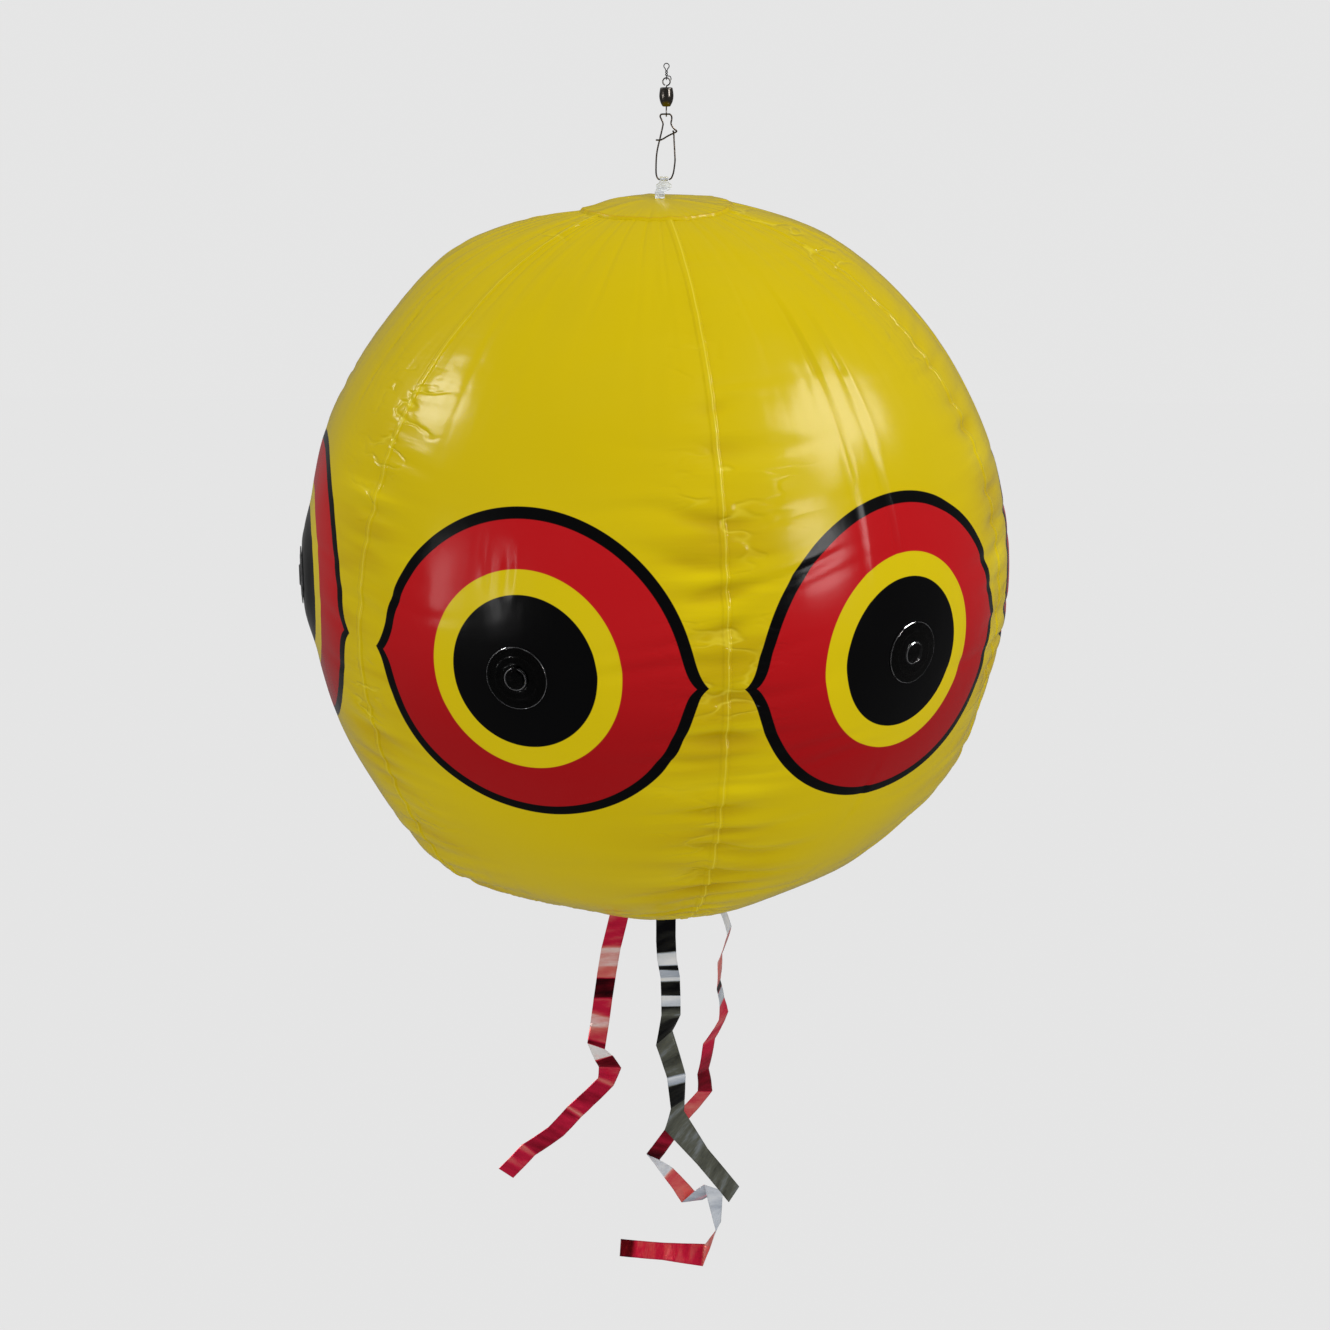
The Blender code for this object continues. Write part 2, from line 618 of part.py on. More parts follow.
def disc_profile(inside, outside, seat, wall, sag):
    """A thin disc that follows the ball, from its inner edge out over its face and back under it."""
    radii = [inside + (outside - inside) * ring / DISC_RINGS for ring in range(DISC_RINGS + 1)]
    face = [(radius, seat + wall - sag(radius)) for radius in radii]
    under = [(radius, seat - sag(radius)) for radius in reversed(radii)]
    return face + under


def moulded_disc_profile():
    """A plain disc with the small round ring that is moulded on its face."""
    inner = MOULDED_RING_RADIUS - MOULDED_RING_WIDTH
    ring = [
        (inner, DISC_FACE - disc_sag(inner)),
        (inner + MOULDED_RING_WIDTH / 4, DISC_FACE + MOULDED_RING_HEIGHT),
        (MOULDED_RING_RADIUS - MOULDED_RING_WIDTH / 4, DISC_FACE + MOULDED_RING_HEIGHT),
        (MOULDED_RING_RADIUS, DISC_FACE - disc_sag(MOULDED_RING_RADIUS)),
    ]
    rest = disc_profile(0, DISC_RADIUS, DISC_SEAT, DISC_WALL, disc_sag)
    face = [point for point in rest[:DISC_RINGS + 1] if point[0] > MOULDED_RING_RADIUS]
    return [rest[0]] + ring + face + rest[DISC_RINGS + 1:]


def stem_profile():
    """The stem's tube: a thin rim outside, a stop bead inside, and a straight bore."""
    bead = STEM_RADIUS + STEM_BEAD_WIDTH
    return [
        (STEM_BORE, RIM_FACE), (STEM_RIM_RADIUS, RIM_FACE), (STEM_RIM_RADIUS, RIM_SEAT),
        (STEM_RADIUS, RIM_SEAT), (STEM_RADIUS, STEM_END + STEM_BEAD_LENGTH),
        (bead, STEM_END + STEM_BEAD_LENGTH - STEM_BEAD_WIDTH / 2), (bead, STEM_END),
        (STEM_BORE, STEM_END),
    ]


def plug_profile():
    """The plug's cap and its tapered spigot."""
    spigot = STEM_BORE - SEAT_GAP
    return [
        (0, PLUG_SEAT + PLUG_CAP_HEIGHT), (PLUG_CAP_RADIUS, PLUG_SEAT + PLUG_CAP_HEIGHT),
        (PLUG_CAP_RADIUS, PLUG_SEAT), (spigot, PLUG_SEAT),
        (spigot - PLUG_TAPER, PLUG_SEAT - PLUG_LENGTH), (0, PLUG_SEAT - PLUG_LENGTH),
    ]


def shifted(mesh, up, out):
    mesh.transform(Matrix.Translation((0, -up, -out)))
    return mesh


def add_valve(gore, eye_frame, pivots):
    """In the eye's own frame +Z points out of the ball and +Y points up."""
    hole = STEM_RADIUS + VALVE_HOLE_MARGIN
    cutter = turned_mesh(
        "valve_hole", [(0, CUT_OVERRUN), (hole, CUT_OVERRUN), (hole, -CUT_OVERRUN), (0, -CUT_OVERRUN)],
        STEM_SIDES,
    )
    combine(gore, cutter, "DIFFERENCE", eye_frame)
    flange = disc_profile(STEM_RADIUS + SEAT_GAP, DISC_RADIUS, DISC_SEAT, DISC_WALL, disc_sag)
    add_piece("valve_flange", turned_mesh("valve_flange", flange, DISC_SIDES), CLEAR_SHEET, eye_frame)
    stem = add_piece(
        "valve_stem", turned_mesh("valve_stem", stem_profile(), STEM_SIDES), CLEAR_SHEET, pivots["stem"]
    )
    ear_wall = STEM_RIM_HEIGHT / 6
    ear = box_mesh(
        "stem_ear", (-EAR_WIDTH / 2, STEM_RADIUS, RIM_SEAT + ear_wall),
        (EAR_WIDTH / 2, STEM_RIM_RADIUS + EAR_REACH, RIM_FACE - ear_wall),
    )
    combine(stem, ear, "UNION")
    plug_mesh = turned_mesh("valve_plug", plug_profile(), STEM_SIDES)
    plug_mesh = shifted(plug_mesh, PLUG_PIVOT_UP, PLUG_PIVOT_OUT)
    plug = add_piece("valve_plug", plug_mesh, CLEAR_SHEET, pivots["plug"])
    strap = box_mesh(
        "plug_strap", (-EAR_WIDTH / 2, PLUG_CAP_RADIUS - EAR_WIDTH / 2, STRAP_SEAT),
        (EAR_WIDTH / 2, PLUG_PIVOT_UP + STRAP_HEIGHT / 2, STRAP_SEAT + STRAP_HEIGHT),
    )
    combine(plug, shifted(strap, PLUG_PIVOT_UP, PLUG_PIVOT_OUT), "UNION")
    half = FLAP_HEIGHT / 2
    flap_profile = [(0, FLAP_OUT + half), (FLAP_RADIUS, FLAP_OUT + half),
                    (FLAP_RADIUS, FLAP_OUT - half), (0, FLAP_OUT - half)]
    flap_mesh = shifted(turned_mesh("valve_flap", flap_profile, STEM_SIDES), FLAP_PIVOT_UP, FLAP_OUT)
    flap = add_piece("valve_flap", flap_mesh, CLEAR_SHEET, pivots["flap"])
    tongue = box_mesh(
        "flap_tongue",
        (-FLAP_TONGUE_WIDTH / 2, FLAP_RADIUS - FLAP_HEIGHT, FLAP_OUT - FLAP_TONGUE_HEIGHT / 2),
        (FLAP_TONGUE_WIDTH / 2, FLAP_PIVOT_UP + half / 2, FLAP_OUT + FLAP_TONGUE_HEIGHT / 2),
    )
    combine(flap, shifted(tongue, FLAP_PIVOT_UP, FLAP_OUT), "UNION")


def eye_place(index):
    """The frame of an eye's middle on the ball, with +Z out of the ball and +Y up."""
    azimuth = (index + 0.5) * 2 * math.pi / GORES
    rise = math.atan(math.tan(EYE_LATITUDE) * BALL_RADIUS / BALL_HALF_HEIGHT)
    turn = Matrix.Rotation(azimuth, 4, "Z") @ Matrix.Rotation(math.radians(90) - rise, 4, "X")
    return Matrix.Translation(ball_point(azimuth, EYE_LATITUDE, 0)) @ turn


def add_eye_discs(ball_frame, gores):
    """The last gore's eye holds the valve, and the others hold plain discs."""
    for index in range(GORES):
        place = ball_frame.matrix_world @ eye_place(index)
        middle = place.translation
        frame = add_empty(f"eye_frame_{index + 1}", middle, place.to_3x3().to_4x4())
        if index < GORES - 1:
            mesh = turned_mesh(f"pupil_disc_{index + 1}", moulded_disc_profile(), DISC_SIDES)
            add_piece(mesh.name, mesh, CLEAR_SHEET, frame)
            continue
        pivots = {"stem": add_empty("stem_slide", middle, frame.matrix_world.to_3x3().to_4x4())}
        for name, up, out in (("plug", PLUG_PIVOT_UP, PLUG_PIVOT_OUT), ("flap", FLAP_PIVOT_UP, FLAP_OUT)):
            pivot = frame.matrix_world @ Vector((0, up, out))
            pivots[name] = add_empty(f"{name}_pivot", pivot, frame.matrix_world.to_3x3().to_4x4())
        add_valve(gores[index], frame, pivots)


# The tapes

# Each crease across a tape: its middle as shares of the tape's drop, to the right, to the back
# and down from the root, then how far it is turned to the back and tilted up, in degrees.
LEFT_CREASE_SHARES = (
    (0, 0, 0, 0, 0), (-0.009, 0, 0.047, 0, 0), (-0.023, 0, 0.12, 0, 0), (-0.049, 0, 0.236, 0, 0),
    (-0.061, -0.012, 0.309, 0, 0), (-0.073, 0, 0.402, 0, 0), (-0.083, 0.004, 0.485, 0, -5),
    (-0.093, -0.02, 0.545, 0, -22), (-0.07, -0.005, 0.598, 38, -4), (-0.054, 0.01, 0.637, 35, -22),
    (-0.067, 0, 0.68, 10, -34), (-0.158, -0.01, 0.775, 0, -38), (-0.215, 0, 0.852, 0, -36),
    (-0.298, 0.008, 0.923, 0, -44), (-0.366, 0, 1, 0, -38),
)
MIDDLE_CREASE_SHARES = (
    (0, 0, 0, 0, 0), (0, 0, 0.057, 0, 0), (0, 0, 0.116, 0, 16), (0.003, -0.008, 0.175, 0, 0),
    (0.013, 0.008, 0.245, 0, 4), (0.015, -0.006, 0.295, 0, 0), (0.016, 0, 0.369, 0, 2),
    (-0.003, 0.01, 0.454, 35, 26), (0.033, -0.01, 0.575, 0, 14), (0.038, 0.004, 0.68, 42, 6),
    (0.028, -0.004, 0.732, 32, 32), (0.113, 0, 0.862, 46, 36), (0.211, 0, 1, 46, 36),
)
RIGHT_CREASE_SHARES = (
    (0, 0, 0, 90, 0), (0.02, 0, 0.042, 88, 0), (0.044, 0, 0.094, 80, 0), (0.058, 0, 0.14, 76, 0),
    (0.039, 0, 0.206, 74, 0), (0.037, 0, 0.272, 78, 0), (0.045, 0.003, 0.317, 74, 0),
    (0.049, 0, 0.35, 58, 0), (0.018, -0.006, 0.41, 48, -8), (0.006, 0, 0.492, 50, -6),
    (0.011, 0.004, 0.545, 40, -22), (-0.038, -0.004, 0.604, 26, -40), (-0.104, 0.004, 0.72, 24, -38),
    (-0.07, 0.01, 0.765, 64, -6), (-0.016, 0, 0.836, 20, -6), (0.032, -0.008, 0.793, 0, -20),
    (0.045, 0, 0.905, 40, -8), (0.013, 0, 0.985, 74, 38), (-0.081, 0, 0.975, 84, 34),
    (-0.179, 0, 0.965, 87, 32),
)


def underside_height(across, back, lift):
    """Height under the ball's centre of the layer at a lift, at a place seen from above."""
    share = (across ** 2 + back ** 2) / (BALL_RADIUS + lift) ** 2
    return -(BALL_HALF_HEIGHT + lift) * math.sqrt(1 - share)


def root_slope(across, back, along_x):
    """The tilt in degrees that keeps a tape's first edge level with the cap above it."""
    curve = BALL_RADIUS ** 2 / BALL_HALF_HEIGHT
    return math.degrees(math.atan((across if along_x else back) / curve))


def crease_direction(turn, tilt):
    turn, tilt = math.radians(turn), math.radians(tilt)
    return Vector((math.cos(turn) * math.cos(tilt), math.sin(turn) * math.cos(tilt), math.sin(tilt)))


def tape_mesh(name, root, drop, creases):
    """A flat tape folded at its creases, each lengthened so that the tape keeps its width."""
    middles = [Vector((across, back, -down)) * drop for across, back, down, _, _ in creases]
    slope = root_slope(*root, along_x=abs(creases[0][3]) < 45)
    front, back_side, length = [], [], 0
    for index, (_, _, _, turn, tilt) in enumerate(creases):
        crease = crease_direction(turn, tilt if index else slope)
        before = middles[index] - middles[index - 1] if index else middles[1] - middles[0]
        after = middles[index + 1] - middles[index] if index < len(middles) - 1 else before
        length += before.length if index else 0
        run = (before.normalized() + after.normalized()).normalized()
        square = max(before.normalized().cross(crease).length, LEAST_CREASE_SHARE)
        half = crease * TAPE_WIDTH / 2 / square
        face = crease.cross(run).normalized() * TAPE_THICKNESS / 2
        front.append([middles[index] - half + face, middles[index] + half + face])
        back_side.append([middles[index] - half - face, middles[index] + half - face])
    print(name, "flat length in mm:", round(length * 1000, 1))
    return shell_mesh(name, front, back_side)


def add_tape(side, ball_centre, root_shares, drop, creases, patch_direction):
    """A tape turns at its root, just under the sticker that covers its end on the bottom cap."""
    root = [share * CAP_RADIUS for share in root_shares]
    height = underside_height(*root, TAPE_LIFT)
    pivot = add_empty(f"{side}_tape_pivot", ball_centre + Vector((*root, height)))
    mesh = tape_mesh(f"tail_{side}", root, drop, creases)
    add_piece(mesh.name, mesh, RED_FOIL, pivot)
    reach = PATCH_RADIUS - PATCH_OVERLAP
    across = root[0] + reach * patch_direction[0]
    back = root[1] + reach * patch_direction[1]
    curve = BALL_RADIUS ** 2 / BALL_HALF_HEIGHT
    normal = Vector((across / BALL_RADIUS ** 2, back / BALL_RADIUS ** 2,
                     underside_height(across, back, 0) / BALL_HALF_HEIGHT ** 2)).normalized()
    turn = normal.to_track_quat("Z", "Y").to_matrix().to_4x4()
    place = ball_centre + Vector((across, back, underside_height(across, back, 0)))
    frame = add_empty(f"{side}_patch_frame", place, turn)
    profile = disc_profile(0, PATCH_RADIUS, CAP_LIFT + SEAT_GAP, SHEET_WALL, lambda r: r ** 2 / (2 * curve))
    patch = turned_mesh(f"tail_patch_{side}", profile, PATCH_SIDES)
    add_piece(patch.name, patch, CLEAR_SHEET, frame)


def main():
    clear_scene()
    ball_centre = Vector((BALL_SIDE_SHIFT, 0, -BALL_CENTRE_DROP))
    add_hanger(None)
    top_pivot = add_empty("top_eye_pivot", (0, 0, -HANGER_PIVOT))
    barrel_axis = add_empty("barrel_axis", (0, 0, -BARREL_TOP))
    add_swivel((top_pivot, barrel_axis), barrel_axis)
    snap_pivot = add_empty("snap_pivot", (0, 0, -SNAP_TOP))
    tab_pivot = add_empty("tab_pivot", (0, 0, -SNAP_BOTTOM))
    add_snap(snap_pivot, tab_pivot)
    add_tab(tab_pivot)
    ball_frame = add_empty("ball_frame", ball_centre, Matrix.Rotation(BALL_TURN, 4, "Z"))
    gores = add_ball(ball_frame)
    add_eye_discs(ball_frame, gores)
    add_tape("left", ball_centre, LEFT_ROOT_SHARES, LEFT_DROP, LEFT_CREASE_SHARES, (0, 1))
    add_tape("middle", ball_centre, MIDDLE_ROOT_SHARES, MIDDLE_DROP, MIDDLE_CREASE_SHARES, (0, 1))
    add_tape("right", ball_centre, RIGHT_ROOT_SHARES, RIGHT_DROP, RIGHT_CREASE_SHARES, (-1, 0))


main()
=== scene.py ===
# %% [markdown]
# # A bird scare balloon
# The balloon is an inflated ball of six vinyl gores, each printed with one staring eye. It hangs from a
# twisted wire loop, a barrel swivel and an interlock snap, and three foil tapes turn below it in the wind.
# The imported CAD part is loaded first and never moved. Each piece made here is finer than its solid and stands
# in the same place. All but the foil tapes ride on the same body, so they swing and turn with it.

# %% Load the CAD frame
from math import acos, atan, cos, degrees, exp, pi, radians, sin, sqrt, tan

import bmesh
import bpy
from mathutils import Matrix, Vector, noise as ripple_noise


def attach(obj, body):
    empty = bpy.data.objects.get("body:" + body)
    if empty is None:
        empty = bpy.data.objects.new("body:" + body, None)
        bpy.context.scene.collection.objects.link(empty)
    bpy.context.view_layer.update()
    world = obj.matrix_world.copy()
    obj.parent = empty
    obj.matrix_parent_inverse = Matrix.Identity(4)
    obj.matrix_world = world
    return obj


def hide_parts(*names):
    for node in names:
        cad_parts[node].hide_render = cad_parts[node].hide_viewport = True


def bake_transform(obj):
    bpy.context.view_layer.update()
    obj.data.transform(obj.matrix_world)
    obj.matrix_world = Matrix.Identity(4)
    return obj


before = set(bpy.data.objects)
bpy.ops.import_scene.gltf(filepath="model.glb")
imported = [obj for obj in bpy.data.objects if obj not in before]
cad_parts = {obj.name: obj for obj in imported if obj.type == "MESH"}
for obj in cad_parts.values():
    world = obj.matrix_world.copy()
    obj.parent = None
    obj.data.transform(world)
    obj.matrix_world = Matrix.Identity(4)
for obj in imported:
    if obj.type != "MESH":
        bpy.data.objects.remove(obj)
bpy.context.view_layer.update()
scene = bpy.context.scene

# %% [markdown]
# ## Sizes
# The sizes repeat those of the part's source, in metres, because this script can't read it. The ball's
# centre hangs below the loop, and the ball is turned so that one seam faces the viewer, a little to the right.

# %% Sizes that several pieces share
BALL_RADIUS = 0.203
BALL_HALF_HEIGHT = 0.2088
BALL_CENTRE = Vector((-0.0052, 0, -0.2801))
BALL_TURN = radians(10.57)
GORES = 6
SPAN = 2 * pi / GORES
EYE_LATITUDE = radians(1.5)
SHEET = 0.0004
LAP_HALF_WIDTH = 0.002
LAP_LIFT = 0.0006
CAP_RADIUS = 0.042
CAP_LIFT = 0.0013
TIP_RADIUS = 0.012
to_ball = Matrix.Translation(BALL_CENTRE) @ Matrix.Rotation(BALL_TURN, 4, "Z")
print("ball:", round(2000 * BALL_RADIUS), "mm across,", round(2000 * BALL_HALF_HEIGHT), "mm high")

# %% [markdown]
# ## Writing nodes as sums
# Materials and Geometry Nodes both work with sockets. Wrapping a socket in a small class lets a pattern be
# written as a sum, and each operator then adds its Math node to the tree. One method makes any other node.

# %% A socket that can be added and multiplied
class Flow:
    def __init__(self, bench, socket):
        self.bench, self.socket = bench, socket

    def math(self, operation, *others):
        return self.bench.node("Math", dict(enumerate((self, *others))), operation=operation)

    def swapped(self, operation, other):
        return self.bench.node("Math", {0: other, 1: self}, operation=operation)

    def __add__(self, other): return self.math("ADD", other)
    def __radd__(self, other): return self.math("ADD", other)
    def __sub__(self, other): return self.math("SUBTRACT", other)
    def __rsub__(self, other): return self.swapped("SUBTRACT", other)
    def __mul__(self, other): return self.math("MULTIPLY", other)
    def __rmul__(self, other): return self.math("MULTIPLY", other)
    def __truediv__(self, other): return self.math("DIVIDE", other)
    def __rtruediv__(self, other): return self.swapped("DIVIDE", other)
    def __pow__(self, other): return self.math("POWER", other)
    def __neg__(self): return self.math("MULTIPLY", -1)
    def __abs__(self): return self.math("ABSOLUTE")
    def sin(self): return self.math("SINE")
    def cos(self): return self.math("COSINE")
    def root(self): return self.math("SQRT")
    def exp(self): return self.math("EXPONENT")

    def bell(self, width):
        """1 where the flow is 0, and falling away to both sides over a width."""
        share = self / width
        return (-(share * share)).exp()

    def step(self, low, high):
        """Rises smoothly from 0 to 1 between two values, or falls where high is the smaller."""
        return self.bench.node("MapRange", {"Value": self, "From Min": low, "From Max": high},
                               interpolation_type="SMOOTHSTEP")


# %% A tree of nodes that takes them
class Bench:
    def __init__(self, tree):
        self.tree = tree

    def node(self, kind, sockets=None, output=0, family="Shader", **settings):
        made = self.tree.nodes.new(f"{family}Node{kind}")
        for name, value in settings.items():
            setattr(made, name, value)
        for name, value in (sockets or {}).items():
            self.feed(made.inputs[name], value)
        return Flow(self, made.outputs[output])

    def feed(self, socket, value):
        """Links a flow to a socket, or sets the socket's value."""
        if isinstance(value, Flow):
            self.tree.links.new(value.socket, socket)
        else:
            socket.default_value = value

    def vector(self, x, y, z=0.0):
        return self.node("CombineXYZ", {0: x, 1: y, 2: z})

    def parts(self, flow):
        split = self.node("SeparateXYZ", {0: flow}).socket.node
        return [Flow(self, socket) for socket in split.outputs]

    def marks(self, name):
        """The two values that a map of the piece carries."""
        return self.parts(self.node("UVMap", uv_map=name))[:2]

    def place(self):
        """Places on the piece, in metres."""
        return self.node("TexCoord", output=3)

    def scaled(self, place, *scale):
        return self.node("Mapping", {"Vector": place, "Scale": scale})

    def noise(self, place, scale, detail, seed):
        """Soft noise from 0 to 1 at a place, with its seed as the fourth dimension."""
        return self.node("TexNoise", {"Vector": place, "Scale": scale, "Detail": detail, "W": seed},
                         noise_dimensions="4D")

    def blend(self, share, first, second):
        return self.node("Mix", {0: share, 6: first, 7: second}, 2, data_type="RGBA")

    def ramp(self, share, stops):
        """Colours that follow one another along a share."""
        made = self.node("ValToRGB", {"Fac": share})
        shades = made.socket.node.color_ramp.elements
        while len(shades) < len(stops):
            shades.new(1)
        for shade, (place, colour) in zip(shades, stops):
            shade.position, shade.color = place, (*colour, 1)
        return made

    def bump(self, height, strength=0.5):
        return self.node("Bump", {"Strength": strength, "Distance": 1.0, "Height": height})


print("node helpers ready")


# %% Objects and meshes
def add_object(name, data):
    """Puts data in the scene as an object."""
    made = bpy.data.objects.new(name, data)
    scene.collection.objects.link(made)
    return made


def new_mesh(name, places, faces, edges=()):
    """A mesh from its vertices' places and from its faces or edges."""
    mesh = bpy.data.meshes.new(name)
    mesh.from_pydata(places, edges, faces)
    return mesh


def new_material(name):
    """A material with nodes, its bench and its shader."""
    made = bpy.data.materials.new(name)
    made.use_nodes = True
    return made, Bench(made.node_tree), made.node_tree.nodes["Principled BSDF"]


print("object helpers ready")

# %% [markdown]
# ## Studio
# The balloon hangs in a pale room that lights it evenly from all round. The room looks darker where a glossy
# piece mirrors it, as a studio with dark sides would, so that the colours stay deep. The floor shows camera and
# clear rays the room's own grey, so no horizon is seen.

# %% Backdrop, floor and world
BACKDROP = (0.787, 0.787, 0.787, 1)
ROOM_LIGHT = 1.13
ROOM_GLOSS = 0.22
FLOOR_HEIGHT, FLOOR_REACH = -1.7, 6
FLOOR_SHOWN = 0.97


def ray_kinds(bench):
    """1 for the rays that see the room itself, and 1 for those that see it mirrored in a glossy piece."""
    path = bench.node("LightPath").socket.node
    camera, glossy, through = (Flow(bench, path.outputs[f"Is {kind} Ray"])
                               for kind in ("Camera", "Glossy", "Transmission"))
    return camera.math("MAXIMUM", through), glossy * (1 - through)


world = bpy.data.worlds.new("pale room")
world.use_nodes = True
scene.world = world
bench = Bench(world.node_tree)
background = world.node_tree.nodes["Background"]
straight, mirrored = ray_kinds(bench)
bench.feed(background.inputs["Color"], BACKDROP)
bench.feed(background.inputs["Strength"],
           straight * (1 - ROOM_LIGHT) + mirrored * (ROOM_GLOSS - ROOM_LIGHT) + ROOM_LIGHT)

corners = ((-1, -1), (1, -1), (1, 1), (-1, 1))
floor_mesh = new_mesh("floor", [(x * FLOOR_REACH, y * FLOOR_REACH, FLOOR_HEIGHT) for x, y in corners], [(0, 1, 2, 3)])
floor_finish, bench, shader = new_material("pale floor")
shader.inputs["Base Color"].default_value, shader.inputs["Roughness"].default_value = BACKDROP, 0.9
straight, mirrored = ray_kinds(bench)
plain = bench.node("Emission", {"Color": BACKDROP, "Strength": straight + mirrored * ROOM_GLOSS})
shown = (straight + mirrored) * FLOOR_SHOWN
show = bench.node("MixShader", {0: shown, 1: Flow(bench, shader.outputs[0]), 2: plain})
bench.feed(bench.tree.nodes["Material Output"].inputs["Surface"], show)
floor_mesh.materials.append(floor_finish)
floor = add_object("floor", floor_mesh)
print("room ready")

# %% [markdown]
# Soft lamps stand where the photograph's highlights lie on the ball. Five of them only add gloss, and a large
# one above adds light to the colours and no gloss.


# %% Lamps
def soft_lamp(name, azimuth, elevation, distance, size, power, lights_colour=False):
    """A soft lamp that faces the ball, at an azimuth from the front toward the right."""
    turn, rise = radians(azimuth), radians(elevation)
    toward = Vector((sin(turn) * cos(rise), -cos(turn) * cos(rise), sin(rise)))
    lamp = bpy.data.lights.new(name, "AREA")
    lamp.shape, lamp.energy = "RECTANGLE", power
    lamp.size, lamp.size_y = size
    stand = add_object(name, lamp)
    stand.location = BALL_CENTRE + toward * distance
    stand.rotation_euler = toward.to_track_quat("Z", "Y").to_euler()
    stand.visible_diffuse, stand.visible_glossy = lights_colour, not lights_colour


soft_lamp("left lamp", -97, 35, 1.5, (0.46, 0.34), 9)
soft_lamp("right lamp", 77, 41, 1.5, (0.8, 0.5), 24)
soft_lamp("front lamp", 49, 17, 1.8, (0.34, 0.7), 14)
soft_lamp("low lamp", -64, 3, 1.8, (0.2, 0.6), 3.5)
soft_lamp("narrow lamp", -46, 6, 1.8, (0.08, 0.5), 2.5)
soft_lamp("ceiling lamp", 60, 50, 2.2, (1.4, 1.4), 12, lights_colour=True)
print("six lamps ready")

# %% [markdown]
# The camera was fitted to the ball's outline, to the printed eyes and to the hardware in the photograph.

# %% Camera
CAMERA_PLACE = Vector((0.00048, -1.1052, 0.0966))
CAMERA_DIP = radians(21.71)
CAMERA_ROLL = radians(0.23)
view = bpy.data.cameras.new("camera")
view.lens, view.sensor_width, view.sensor_fit = 54.19, 36, "HORIZONTAL"
forward = Vector((0, cos(CAMERA_DIP), -sin(CAMERA_DIP)))
right = Vector((1, 0, 0))
up = right.cross(forward)
camera_right = right * cos(CAMERA_ROLL) + up * sin(CAMERA_ROLL)
camera_up = up * cos(CAMERA_ROLL) - right * sin(CAMERA_ROLL)
camera = add_object("camera", view)
axes = Matrix((camera_right, camera_up, -forward)).transposed().to_4x4()
camera.matrix_world = Matrix.Translation(CAMERA_PLACE) @ axes
scene.camera = camera
scene.view_settings.view_transform = "Standard"
print("camera", [round(c, 3) for c in camera.location])

# %% [markdown]
# ## The gored ball
# Each gore is a long printed panel of vinyl, welded over its neighbour's edge. Air pulls the seams straight,
# so the slack sheet beside them gathers into short puckers that cross the seam. The shape follows a rule, a
# grid wrapped round a ball with valleys subtracted, so Geometry Nodes make it, one gore at a time.


# %% The rule that wraps a place onto the ball
def ball_place(bench, azimuth, latitude, lift):
    across = (lift + BALL_RADIUS) * latitude.cos()
    return bench.vector(across * azimuth.sin(), -(across * azimuth.cos()), (lift + BALL_HALF_HEIGHT) * latitude.sin())


# The ball's uneven places: azimuth and latitude in degrees, height in mm and width in degrees.
UNEVEN = (
    (94, 60, 4.0, 16), (60, -28, 4.5, 11), (27, -55, -3.2, 10), (-34, -59, -3.2, 9),
    (-64, -44, 8.0, 12), (-89, -1, -3.5, 19), (-111, 57, 6.0, 12), (-148, 77, -7.0, 8),
)


def slack(bench, azimuth, latitude, seed):
    """Slow waves, the ball's uneven places, and the folds that run out from its two ends."""
    unit = bench.vector(azimuth.sin() * latitude.cos(), azimuth.cos() * latitude.cos(), latitude.sin())
    waves = (bench.noise(unit, 2.6, 1.0, seed) - 0.5) * 0.003
    for turn, rise, height, width in UNEVEN:
        turn, rise, width = map(radians, (turn, rise, width))
        toward = (sin(turn) * cos(rise), cos(turn) * cos(rise), sin(rise))
        near = bench.node("VectorMath", {0: unit, 1: toward}, 1, operation="DOT_PRODUCT")
        waves = waves + ((near - 1) * (2 / width ** 2)).exp() * (height * 0.001)
    off_eye = ((azimuth / SPAN).math("FRACT") - 0.5) * latitude.cos() * SPAN
    from_eye = (off_eye * off_eye + (latitude - EYE_LATITUDE) * (latitude - EYE_LATITUDE)).root()
    held = from_eye.step(radians(5), radians(13)) * abs(latitude).step(radians(85), radians(77))
    ring = bench.vector(azimuth.sin(), azimuth.cos(), latitude * 0.16)
    folds = (bench.noise(ring, 5.5, 2.0, seed + 3) - 0.5).bell(0.035)
    finer = (bench.noise(ring, 11.0, 1.0, seed + 5) - 0.5).bell(0.05)
    end = abs(latitude).step(radians(22), radians(64))
    return (waves - (folds * 0.0004 + finer * 0.0001) * end) * held


